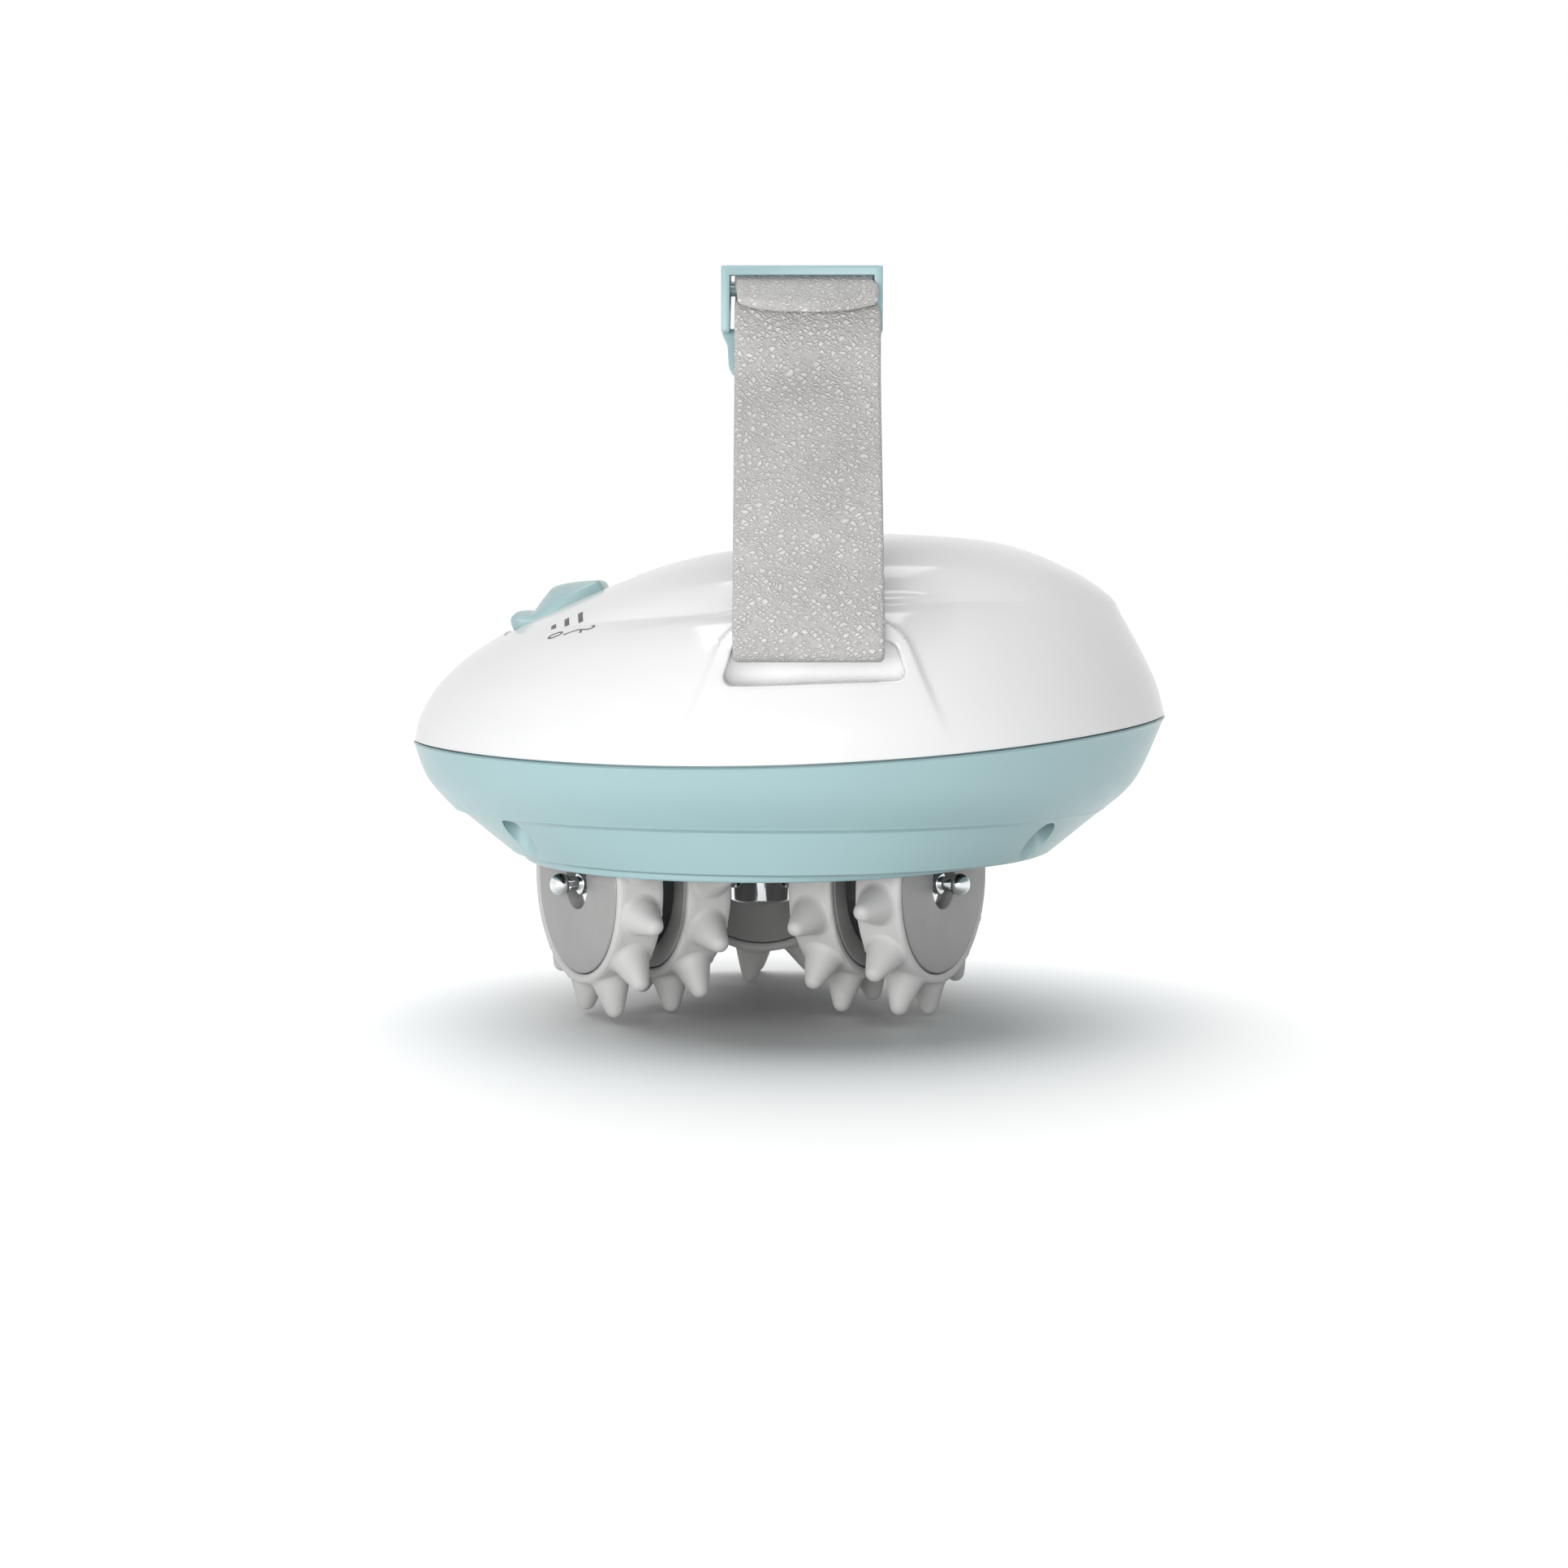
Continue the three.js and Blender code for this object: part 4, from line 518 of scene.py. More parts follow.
# The window's rim is rolled over, so its cutter widens to a quarter round at the pad's face
surface = BVHTree.FromObject(upper, bpy.context.evaluated_depsgraph_get())
corners = [(PAD_X + x, z, radius) for x, z, radius in WINDOW]
window = dense(rounded(corners, 6), 0.8)
for side in (-1, 1):
    rings = []
    for depth in CUTTER_DEPTHS:
        share = min(max(depth, 0.0), 1.0)
        widen = WINDOW_EDGE * (1 - math.sqrt(1 - (1 - share) ** 2))
        ring = []
        for i, point in enumerate(window):
            edge = window[(i + 1) % len(window)] - window[i - 1]
            away = Vector((edge.y, -edge.x)).normalized() * widen
            u, v = point.x + away.x, point.y + away.y
            start = Vector((u, side * 90, v)) * MM
            hit = surface.ray_cast(start, Vector((0, -side, 0)))[0]
            face = abs(hit.y) / MM
            ring.append((u, side * (face - depth * WINDOW_EDGE), v))
        rings.append(ring)
    rings.append([(p.x, side * (slot_back - 0.02), p.y) for p in window])
    cut(upper, skin("window", [middle_of(rings[0])] + rings + [middle_of(rings[-1])]))
    y = sorted((side * (PAD_TOP_Y - BRIDGE), side * slot_back))
    low, high = (PAD_X - SLOT_HALF, y[0], 70), (PAD_X + SLOT_HALF, y[1], 90)
    cut(upper, block("slot", low, high))

# Flat land and stem slot of the switch, and the recess of the power inlet
on_slope = Matrix.Translation(Vector(SWITCH_PLACE) * MM) @ Matrix.Rotation(-SWITCH_SLOPE, 4, "Y")
land_half = KNOB_LENGTH / 2 + SWITCH_TRAVEL / 2 + 2 * GAP
land_side = KNOB_WIDTH / 2 + GAP
land = block("land", (-land_half, -land_side, 0), (land_half, land_side, 20))
land.data.transform(on_slope)
cut(upper, land)
stem_slot = block("stem_slot", (-SWITCH_TRAVEL / 2 - 2.8, -2.3, -4), (SWITCH_TRAVEL / 2 + 2.8, 2.3, 1))
stem_slot.data.transform(on_slope)
cut(upper, stem_slot)


def drill(name, radius, x0, x1, z, steps=48):
    """A round tool along X."""
    bpy.ops.object.select_all(action="DESELECT")
    bpy.ops.mesh.primitive_cylinder_add(vertices=steps, radius=radius * MM, depth=(x1 - x0) * MM)
    tool = bpy.context.object
    tool.name = name
    place = Matrix.Translation(Vector(((x0 + x1) / 2, 0, z)) * MM) @ Matrix.Rotation(math.pi / 2, 4, "Y")
    tool.data.transform(place)
    return tool


boss = drill("inlet_boss", INLET_RECESS + INLET_WALL, INLET_FACE_X - BOSS_DEPTH, half_length, INLET_Z)
inside = [[(0, 0, 50)]] + [inner_ring(FLANK, 0.1 * i, 0.02) for i in range(48)] + [[(0, 0, 90)]]
cut(boss, skin("inside", inside), "INTERSECT")
cut(upper, boss, "UNION")
cut(upper, drill("inlet_recess", INLET_RECESS, INLET_FACE_X, 80, INLET_Z))
cut(upper, drill("inlet_hole", INLET_HOLE, INLET_FACE_X - 10, INLET_FACE_X + 2, INLET_Z))
shade(upper, 40)

white = Finish("white_gloss_shell", (0.73, 0.73, 0.733), 0.2, {"Coat Weight": 0.35, "Coat Roughness": 0.08})
cloudy = white.noise(22, 3)
white.set({"Base Color": white.ramp(cloudy, [(0.3, (0.715, 0.717, 0.721)), (0.7, (0.745, 0.745, 0.747))])})
white.set({"Roughness": white.span(white.noise(160, 4), 0.3, 0.7, 0.17, 0.25)})
white.bump(white.noise(900, 2), 0.00001, 0.25)
fit(upper, white, "body", "white_shell", "upper_housing")


# Printed marks: three bars and the plain numbers 0, 1 and 2 on the near side of the thumb switch,
# pad-printed in grey ink straight onto the shell.
ink = Finish("grey_print", (0.1, 0.1, 0.105), 0.5)
speckle = ink.noise(900, 2)
ink.set({"Base Color": ink.ramp(speckle, [(0.35, (0.085, 0.085, 0.09)), (0.65, (0.12, 0.12, 0.125))])})
INK = 0.03
BAR_HALF = 0.5
BAR_TURN = 96
DIGIT_SIZE = 4.4
DIGIT_TURN = -88
surface = BVHTree.FromObject(upper, bpy.context.evaluated_depsgraph_get())


def print_on_shell(mark, spot, turn):
    """Lays a flat mark, drawn round its own centre in millimetres, on the shell near a spot."""
    hit, normal = surface.find_nearest(Vector(spot) * MM)[:2]
    up_slope = (Vector((1, 0, 0)) - normal * normal.x).normalized()
    across = normal.cross(up_slope)
    frame_of_mark = Matrix((up_slope, across, normal)).transposed().to_4x4()
    place = Matrix.Translation(hit) @ frame_of_mark @ Matrix.Rotation(turn, 4, "Z")
    mark.data.transform(place @ Matrix.Scale(MM, 4))
    for vertex in mark.data.vertices:
        lift = (vertex.co - hit).dot(normal)
        start = vertex.co + normal * 0.01
        point = surface.ray_cast(start, -normal)[0]
        vertex.co = point + normal * (lift if lift > 0 else -INK * MM)
    fit(mark, ink, "body", "grey_plastic")


# Each mark: its middle on the shell, and its length down the slope
BARS = [((-44.5, -24.8, 75.8), 2.1), ((-41.9, -25.7, 76.7), 3.0), ((-39.2, -26.7, 77.6), 3.9)]
for i, (spot, length) in enumerate(BARS):
    bar = block("mark_bar_%d" % i, (-length / 2, -BAR_HALF, -INK), (length / 2, BAR_HALF, INK))
    bar.data.transform(Matrix.Scale(1 / MM, 4))
    with all_selected(bar):
        bpy.ops.mesh.subdivide(number_cuts=3)
    print_on_shell(bar, spot, math.radians(BAR_TURN))
DIGITS = [(-43.8, -29.7, 74.2), (-40.7, -31.3, 74.8), (-37.6, -32.4, 75.4)]
for i, spot in enumerate(DIGITS):
    bpy.ops.object.select_all(action="DESELECT")
    bpy.ops.object.text_add()
    digit = bpy.context.object
    digit.name = "mark_digit_%d" % i
    digit.data.body = str(i)
    digit.data.size = DIGIT_SIZE
    digit.data.offset = 0.05
    digit.data.align_x = "CENTER"
    digit.data.align_y = "CENTER"
    digit.data.extrude = INK
    bpy.ops.object.convert(target="MESH")
    digit = bpy.context.object
    with all_selected(digit):
        bpy.ops.mesh.remove_doubles(threshold=0.0005)
    print_on_shell(digit, spot, math.radians(DIGIT_TURN))


# Lower housing: the pale aqua bowl, moulded in one piece, with a step line round it, four screw
# wells on the slanted ring and a round hole for the collar.
HEAD_X = -5.6
COLLAR_INNER = 46.2
COLLAR_WALL = 1.2
LOWER_WALL = 2.2
BOWL_BOTTOM_Z = 31.2
STEP_Z = 40.2
STEP_HEIGHT = 0.8
screw_boxes = [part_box("housing_screw_%d" % i) for i in range(1, 5)]
WELLS = [((low.x + high.x) / 2 / MM, (low.y + high.y) / 2 / MM) for low, high in screw_boxes]
WELL_RADIUS = 3.4
WELL_WALL = 1.1
WELL_FLOOR_Z = 43.3
around_body = [2 * math.pi * k / 192 for k in range(192)]
parting_level = (1, 1, 1, 0, 0, 0, 0)


# The bowl's foot keeps a rim round the collar's hole; each level lies at shares of the way from
# the foot out to the parting line
FOOT_RIM = 2.0
FOOT_RIM_REAR = 10.2
collar_out = COLLAR_INNER + COLLAR_WALL
foot_reach = (collar_out - HEAD_X + FOOT_RIM, collar_out + HEAD_X + FOOT_RIM_REAR)
foot_reach += (collar_out + FOOT_RIM,)


def flat_level(front, rear, side, z):
    """A level of the bowl at one height, at shares of the way out at the front, rear and side."""
    reaches = []
    ends = (half_length, half_length, half_width)
    for share, start, end in zip((front, rear, side), foot_reach, ends):
        reaches.append((start + share * (end - start)) / end)
    rises = [(z - PARTING[p]) / (crown_z - PARTING[p]) for p in ("front", "side", "rear")]
    return (*reaches, *rises, 0)


def body_ring(level, inset=0.0, lift=0.0):
    return [oval(level, angle, -inset, -lift) for angle in around_body]


def round_ring(radius, z):
    return [(HEAD_X + radius * math.cos(a), radius * math.sin(a), z) for a in around_body]


hole = collar_out + GAP
foot = flat_level(0, 0, 0, BOWL_BOTTOM_Z)
under_step = flat_level(0.52, 0.45, 0.21, STEP_Z - STEP_HEIGHT)
over_step = flat_level(0.616, 0.502, 0.343, STEP_Z)
bilge = flat_level(0.869, 0.762, 0.762, (PARTING["side"] + STEP_Z) / 2)
slant = [along([foot, foot, under_step, under_step], 1 + t) for t in (0.08, 0.35, 0.65, 0.94)]
flank = [along([over_step, bilge, parting_level], 0.125 * i) for i in range(17)]
bowl_rings = [round_ring(hole, BOWL_BOTTOM_Z + 0.2), round_ring(hole + 0.2, BOWL_BOTTOM_Z)]
bowl_rings += [body_ring(foot, 0.9), body_ring(foot, 0.35, 0.08), body_ring(foot, 0.02, 0.35)]
bowl_rings += [body_ring(level) for level in slant]
bowl_rings += [body_ring(under_step, 0.0, -0.08), body_ring(under_step, -0.12, 0.0)]
bowl_rings += [body_ring(over_step, 0.5, -0.3), body_ring(over_step, 0.15, -0.18)]
bowl_rings += [body_ring(over_step, 0.0, 0.1)]
bowl_rings += [body_ring(level) for level in flank[1:-1]]
bowl_rings += [body_ring(parting_level, 0.02, -rim - 0.3), body_ring(parting_level, 0.3, -rim)]
bowl_rings += [body_ring(parting_level, LIP_INSET, -rim), body_ring(parting_level, LIP_INSET, LIP_HEIGHT)]
bowl_rings += [body_ring(parting_level, LIP_INSET + 1, LIP_HEIGHT)]
bowl_rings += [body_ring(parting_level, LIP_INSET + 1, -rim - 2)]
bowl_rings += [body_ring(level, LOWER_WALL + 0.4) for level in (bilge, over_step, under_step)]
bowl_rings += [body_ring(foot, 0, LOWER_WALL), round_ring(hole, BOWL_BOTTOM_Z + LOWER_WALL)]
bowl = skin("lower_housing_bowl", bowl_rings, closed=True)


def post(name, radius, x, y, z0, z1, steps=40):
    """A round upright tool."""
    bpy.ops.object.select_all(action="DESELECT")
    bpy.ops.mesh.primitive_cylinder_add(vertices=steps, radius=radius * MM, depth=(z1 - z0) * MM)
    tool = bpy.context.object
    tool.name = name
    tool.data.transform(Matrix.Translation(Vector((x, y, (z0 + z1) / 2)) * MM))
    return tool


solid_rings = [[(0, 0, BOWL_BOTTOM_Z + 0.05)], body_ring(foot, 0.4, 0.05)]
solid_rings += [body_ring(level, 0.25) for level in slant]
solid_rings += [body_ring(over_step, 0.5, 0.2), body_ring(bilge, 0.5), [(0, 0, 47)]]
for x, y in WELLS:
    tube = post("well_tube", WELL_RADIUS + WELL_WALL, x, y, 30, WELL_FLOOR_Z + 2)
    cut(tube, skin("bowl_solid", solid_rings), "INTERSECT")
    cut(bowl, tube, "UNION")
for x, y in WELLS:
    cut(bowl, post("well", WELL_RADIUS, x, y, 20, WELL_FLOOR_Z))
cut(bowl, drill("inlet_room", INLET_RECESS + INLET_WALL + GAP, INLET_FACE_X - 10, 80, INLET_Z))
shade(bowl, 32)

aqua = Finish("aqua_satin_plastic", (0.3, 0.445, 0.46), 0.34, {"Coat Weight": 0.3, "Coat Roughness": 0.4})
tint = aqua.noise(18, 3)
aqua.set({"Base Color": aqua.ramp(tint, [(0.3, (0.29, 0.435, 0.452)), (0.7, (0.308, 0.452, 0.467))])})
aqua.set({"Roughness": aqua.span(aqua.noise(240, 4), 0.3, 0.7, 0.3, 0.39)})
aqua.bump(aqua.noise(2400, 2), 0.000008, 0.35)
fit(bowl, aqua, "body", "aqua_plastic", "lower_housing")


# Housing screws: four cross-head steel screws, deep in the wells, that hold the two shells.
def turned(name, profile, steps, place=None, angle=35):
    """A piece turned from a closed half section of (radius, height) points in millimetres."""
    bpy.ops.object.select_all(action="DESELECT")
    bpy.ops.mesh.primitive_circle_add(vertices=len(profile), radius=MM)
    piece = bpy.context.object
    piece.name = name
    for vertex, (r, w) in zip(piece.data.vertices, profile):
        vertex.co = Vector((r, 0, w)) * MM
    with all_selected(piece):
        bpy.ops.mesh.spin(steps=steps, angle=2 * math.pi, center=(0, 0, 0), axis=(0, 0, 1))
        bpy.ops.mesh.select_all(action="SELECT")
        bpy.ops.mesh.remove_doubles(threshold=1e-6)
        bpy.ops.mesh.delete_loose(use_verts=True, use_edges=True, use_faces=False)
        bpy.ops.mesh.select_all(action="SELECT")
        bpy.ops.mesh.normals_make_consistent(inside=False)
    if place:
        piece.data.transform(place)
    shade(piece, angle)
    return piece


def moved(x, y, z):
    return Matrix.Translation(Vector((x, y, z)) * MM)


steel = Finish("zinc_plated_steel", (0.62, 0.63, 0.64), 0.34, {"Metallic": 1.0})
steel.set({"Roughness": steel.span(steel.noise(700, 5), 0.3, 0.7, 0.24, 0.42)})
steel.bump(steel.noise(1500, 3), 0.00001, 0.4)
screw_top = WELL_FLOOR_Z - GAP
SCREW_HEAD = 2.8
SCREW_HEAD_HEIGHT = 2.0
SCREW_RADIUS = 1.2
SCREW_LENGTH = 14
CROSS_LONG = 1.6
CROSS_WIDE = 0.38
for i, (x, y) in enumerate(WELLS, 1):
    head = screw_top - SCREW_HEAD_HEIGHT
    section = [(0, head, 0), (1.5, head, 0.6), (SCREW_HEAD, head + 1.1, 0.5), (SCREW_HEAD, screw_top, 0.1)]
    section += [(SCREW_RADIUS, screw_top, 0), (SCREW_RADIUS, screw_top + SCREW_LENGTH - 2, 0.1)]
    section += [(0, screw_top + SCREW_LENGTH, 0)]
    screw = turned("housing_screw_%d_head" % i, rounded(section, 3), 32)
    for turn in (0, math.pi / 2):
        cross = block("cross", (-CROSS_LONG, -CROSS_WIDE, head - 1), (CROSS_LONG, CROSS_WIDE, head + 1))
        cross.data.transform(Matrix.Rotation(turn + 0.4 * i, 4, "Z"))
        cut(screw, cross)
    screw.data.transform(moved(x, y, 0))
    shade(screw, 35)
    fit(screw, steel, "body", "steel", "housing_screw_%d" % i)


# Base collar: the round aqua skirt that hides the tops of the rollers, a moulded ring seated on
# the bowl's floor by a bead.
collar_low, collar_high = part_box("base_collar")
bottom, top = collar_low.z / MM, collar_high.z / MM
bead = BOWL_BOTTOM_Z + LOWER_WALL + GAP
section = [(COLLAR_INNER, bottom, 0.4), (collar_out, bottom, 0.55), (collar_out, bead, 0)]
section += [(collar_out + 1, bead, 0.2), (collar_out, bead + 2, 0.2), (collar_out, top, 0.2)]
section += [(COLLAR_INNER, top, 0.2)]
collar = turned("base_collar_skirt", rounded(section, 4), 192, moved(HEAD_X, 0, 0))
fit(collar, aqua, "body", "aqua_plastic", "base_collar")


# Thumb slider: a moulded aqua cap with a dished thumb rest and a raised rear lip. Its stem goes
# through the shell to the slide switch.
KNOB_HEIGHT = 6.0
# The cap ends a little short of its place on the land, and more so at the front
KNOB_CAP_LENGTH = 19.5
KNOB_SET_BACK = 1.2
knob_front = KNOB_SET_BACK - KNOB_LENGTH / 2 - SWITCH_TRAVEL / 2
# Sections from front to rear: share of the length, crest and side heights, half width
KNOB_SECTIONS = [
    (0.0, 0.48, 0.42, 0.7),
    (0.028, 0.66, 0.55, 0.84),
    (0.085, 0.75, 0.6, 0.93),
    (0.19, 0.63, 0.4, 0.98),
    (0.245, 0.53, 0.33, 1.0),
    (0.34, 0.72, 0.33, 1.0),
    (0.44, 0.9, 0.37, 0.99),
    (0.52, 1.0, 0.41, 0.975),
    (0.65, 0.93, 0.47, 0.935),
    (0.8, 0.77, 0.52, 0.865),
    (0.925, 0.6, 0.52, 0.77),
    (0.98, 0.52, 0.49, 0.69),
    (1.0, 0.38, 0.38, 0.58),
]
knob_rings = []
ARCH = 40
SIDE_ROUND = 0.9
for k in range(97):
    share, crest, side, wide = along(KNOB_SECTIONS, (len(KNOB_SECTIONS) - 1) * k / 96)
    x = knob_front + share * KNOB_CAP_LENGTH
    half_w = wide * KNOB_WIDTH / 2
    rise = KNOB_HEIGHT - GAP
    ring = [(x, half_w * (1 - 2 * i / 12), GAP) for i in range(13)]
    for i in range(1, 5):
        ring.append((x, -half_w, GAP + (side * rise - SIDE_ROUND) * i / 4))
    for i in range(ARCH + 1):
        across = -math.cos(math.pi * i / ARCH)
        top = side + (crest - side) * (1 - across * across)
        edge = 1 - abs(across)
        drop = SIDE_ROUND * max(1 - math.sqrt(min(edge / 0.09, 1) * (2 - min(edge / 0.09, 1))), 0)
        ring.append((x, across * half_w, GAP + top * rise - drop))
    for i in range(4, 0, -1):
        ring.append((x, half_w, GAP + (side * rise - SIDE_ROUND) * i / 4))
    knob_rings.append(ring)
knob_rings = [middle_of(knob_rings[0])] + knob_rings + [middle_of(knob_rings[-1])]
knob = skin("thumb_slider", knob_rings)
knob.data.transform(on_slope)
stem = block("stem", (-SWITCH_TRAVEL / 2 - 2.5, -2, -3), (-SWITCH_TRAVEL / 2 + 2.5, 2, 1))
stem.data.transform(on_slope)
cut(knob, stem, "UNION")
shade(knob, 50)
fit(knob, aqua, "switch", "aqua_plastic", "switch_slider")


# Power inlet: a black moulded barrel with a steel centre pin, pressed into the rear wall.
black = Finish("black_moulded_plastic", (0.022, 0.022, 0.024), 0.45)
black.set({"Roughness": black.span(black.noise(500, 4), 0.3, 0.7, 0.38, 0.55)})
black.bump(black.noise(1800, 2), 0.00001, 0.5)
along_x = Matrix.Rotation(math.pi / 2, 4, "Y")
barrel = rounded([(2.75, -14, 0), (3.8, -14, 0), (3.8, 0, 0.25), (2.75, 0, 0.35)], 3)
inlet = turned("power_inlet_barrel", barrel, 48, moved(INLET_FACE_X, 0, INLET_Z) @ along_x)
fit(inlet, black, "body", "black_plastic", "power_inlet")
tip = rounded([(0, -13, 0), (1, -13, 0), (1, -1, 0.5), (0, -1, 0)], 3)
pin = turned("power_inlet_pin", tip, 24, moved(INLET_FACE_X, 0, INLET_Z) @ along_x)
fit(pin, steel, "body", "steel")


# Strap: grey leather, 2 mm thick, in two runs. Each loops round the bridge of its anchor and is
# sewn to itself; the near run ends in a loose half-moon tab at the buckle.
STRAP_X = 3.3
STRAP_WIDTH = 26.7
STRAP = 2.0
STRAP_TOP_Z = 145.5
SHOULDER_Y = 31.5
SHOULDER_Z = 132.2
STRAP_EDGE = 0.85
# Share of the thickness left and reach past the end, where a strap's end is rounded over
STRAP_END = [(0.93, 0.12), (0.78, 0.2), (0.4, 0.22), (0.0, 0.22)]
FLAP_LENGTH = 9.5
FLAP_ROUNDING = 2.7
FLAP_CURVE = 2.8
FLAP_WIDTH_SHARE = 0.955
BAR = 1.0
RAIL_SLACK = 0.05
RAIL_TAPER = 0.02
near_bar = (-SHOULDER_Y + 3.3, SHOULDER_Z + 5.5)
BUCKLE_X = 2.3
BUCKLE_HALF = 13.2
BUCKLE_TOP_Z = 141.8
BUCKLE_LOW_Z = 129.7
rear_bar = (-SHOULDER_Y + 10, BUCKLE_TOP_Z - 2.4)
front_y = -SHOULDER_Y - 1.4
back_y = rear_bar[0] + 1.2
bar_loop = BAR + GAP + STRAP / 2 + 0.1
run_face = PAD_TOP_Y + GAP + STRAP
run_lean = (run_face - SHOULDER_Y) / (SHOULDER_Z - PAD_TOP_Z)


def on_run(z):
    """A point of the near run's straight stretch at a height."""
    return (-(run_face - (z - PAD_TOP_Z) * run_lean) + STRAP / 2 + 0.1, z)


def arc(centre, radius, start, end, count):
    """Points on an arc round a bar, with its start and end in degrees."""
    out = []
    for i in range(count):
        a = math.radians(start + (end - start) * i / (count - 1))
        out.append((centre[0] + radius * math.cos(a), centre[1] + radius * math.sin(a)))
    return out


def curve_through(points, steps):
    """Evenly spaced points on a smooth curve through the given ones."""
    fine = []
    table = [tuple(p) for p in points]
    for i in range((len(table) - 1) * 24 + 1):
        fine.append(Vector(along(table, i / 24)))
    lengths = [0.0]
    for a, b in zip(fine, fine[1:]):
        lengths.append(lengths[-1] + (b - a).length)
    out = []
    j = 0
    for k in range(steps + 1):
        want = lengths[-1] * k / steps
        while j < len(fine) - 2 and lengths[j + 1] < want:
            j += 1
        share = (want - lengths[j]) / max(lengths[j + 1] - lengths[j], 1e-9)
        out.append(fine[j].lerp(fine[j + 1], min(share, 1)))
    return out


def between_rails(y, z):
    """1 where the strap passes between the buckle's rails, fading to 0 outside them."""
    entered = smooth_step(z, BUCKLE_LOW_Z - 3.6, BUCKLE_LOW_Z - 0.5)
    behind = smooth_step(y, front_y - 1.3, front_y + 0.3)
    return entered * behind * (1 - smooth_step(y, back_y + 0.4, back_y + 3.6))


def strap_run(name, route, steps, moon=0.0):
    """A flat strap with rounded edges along a route across the body, closed at both ends. Its
    edges are squeezed between the rails, and a moon shortens its end towards the edges."""
    line = curve_through(route, steps)
    half_w, half_t = STRAP_WIDTH / 2, STRAP / 2
    edge = [(-half_w, -half_t, STRAP_EDGE), (half_w, -half_t, STRAP_EDGE)]
    edge += [(half_w, half_t, STRAP_EDGE), (-half_w, half_t, STRAP_EDGE)]
    filled = dense(rounded(edge, 5), 1.6)
    clear_half = BUCKLE_HALF - GAP - RAIL_SLACK
    pitch = (line[1] - line[0]).length
    flap = FLAP_LENGTH / pitch

    def ring_at(station, thick, past=0.0):
        ring = []
        for s in filled:
            share = max((station - (steps - flap)) / flap, 0)
            at = station + (past - moon * abs(s.x / half_w) ** FLAP_CURVE * share) / pitch
            i = min(max(int(at), 0), steps - 1)
            p = line[i] + (line[i + 1] - line[i]) * (at - i)
            before = line[max(i - 1, 0)].lerp(line[i], at - i)
            after = line[min(i + 1, steps)].lerp(line[min(i + 2, steps)], at - i)
            tangent = (after - before).normalized()
            y = p.x - tangent.y * s.y * thick
            z = p.y + tangent.x * s.y * thick
            wide = s.x * (1 - (1 - FLAP_WIDTH_SHARE) * share) if moon else s.x
            x = STRAP_X + wide
            squeeze = between_rails(y, z)
            left = BUCKLE_X - clear_half + RAIL_TAPER * (s.x + half_w)
            right = BUCKLE_X + clear_half + RAIL_TAPER * (s.x - half_w)
            x += squeeze * (min(max(x, left), right) - x)
            ring.append((x, y, z))
        return ring

    rings = [ring_at(0, 1.0)]
    start = middle_of(rings[0])
    rings += [ring_at(i, 1.0) for i in range(1, steps + 1)]
    rings += [ring_at(steps, thick, past) for thick, past in STRAP_END]
    return skin(name, [start] + rings)


bridge_back = PAD_TOP_Y - BRIDGE
loop_in = bridge_back - GAP - STRAP / 2
loop_out = PAD_TOP_Y + GAP + STRAP / 2
# Height of the strap's middle line where it passes under the bridge
LOOP_LOW_Z = 70.9
# From the sewn end behind the bridge, down, under the bridge and up its front
eye = [(-48.8, PAD_TOP_Z + 13.5), (-49.2, PAD_TOP_Z + 8), (-loop_in, PAD_TOP_Z + 2)]
eye += [(-loop_in, LOOP_LOW_Z + 1.6), (-loop_in - 0.5, LOOP_LOW_Z + 0.3), (-loop_in - 1.8, LOOP_LOW_Z)]
eye += [(-loop_out + 1.8, LOOP_LOW_Z), (-loop_out + 0.5, LOOP_LOW_Z + 0.4)]
eye += [(-loop_out, LOOP_LOW_Z + 1.6), (-loop_out, PAD_TOP_Z - 1)]
up = [on_run(PAD_TOP_Z + 8), on_run(PAD_TOP_Z + 29), on_run(SHOULDER_Z - 12)]
# Up to the buckle in front of its low edge, round the near bar and down as the loose tab
near = eye + up + [(-SHOULDER_Y - 3.7, SHOULDER_Z - 5), (-SHOULDER_Y - 2.8, SHOULDER_Z - 1)]
near += [(-SHOULDER_Y - 1.4, SHOULDER_Z + 1.9)] + arc(near_bar, bar_loop, -110, 105, 6)
near += [(-SHOULDER_Y + 0.4, SHOULDER_Z + 6.8), (-SHOULDER_Y - 2.2, SHOULDER_Z + 5.1)]
near += [(-SHOULDER_Y - 6.9, SHOULDER_Z + 1.3)]
near_run = strap_run("strap_near_run", near, 190, FLAP_ROUNDING)
shade(near_run, 60)

soft = {"Sheen Weight": 0.15, "Specular IOR Level": 0.35}
leather = Finish("grey_soft_leather", (0.5, 0.49, 0.475), 0.6, soft)
# Creases: two stretched cell patterns, one across the other, on a place that noise has warped
warp = leather.node("ShaderNodeTexNoise", None, {"Vector": leather.place, "Scale": 260, "Detail": 3}, "Color")
bent = leather.node("ShaderNodeMixRGB", {"blend_type": "ADD"}, {0: 0.0016, 1: leather.place, 2: warp})
creases = []
for turn, scale, wide in ((2.15, 1050, 0.2), (0.9, 1250, 0.16)):
    laid = {"Vector": bent, "Rotation": (0, turn, 0), "Scale": (1, 1, 2.8)}
    cells = {"Vector": leather.node("ShaderNodeMapping", {"vector_type": "TEXTURE"}, laid), "Scale": scale}
    edge = leather.node("ShaderNodeTexVoronoi", {"feature": "DISTANCE_TO_EDGE"}, cells)
    creases.append(leather.span(edge, 0.0, wide))
fold = creases[0] * creases[1]
stain = leather.noise(45, 4, 0.6)
toned = leather.ramp(stain, [(0.36, (0.5, 0.492, 0.484)), (0.66, (0.59, 0.581, 0.57))])
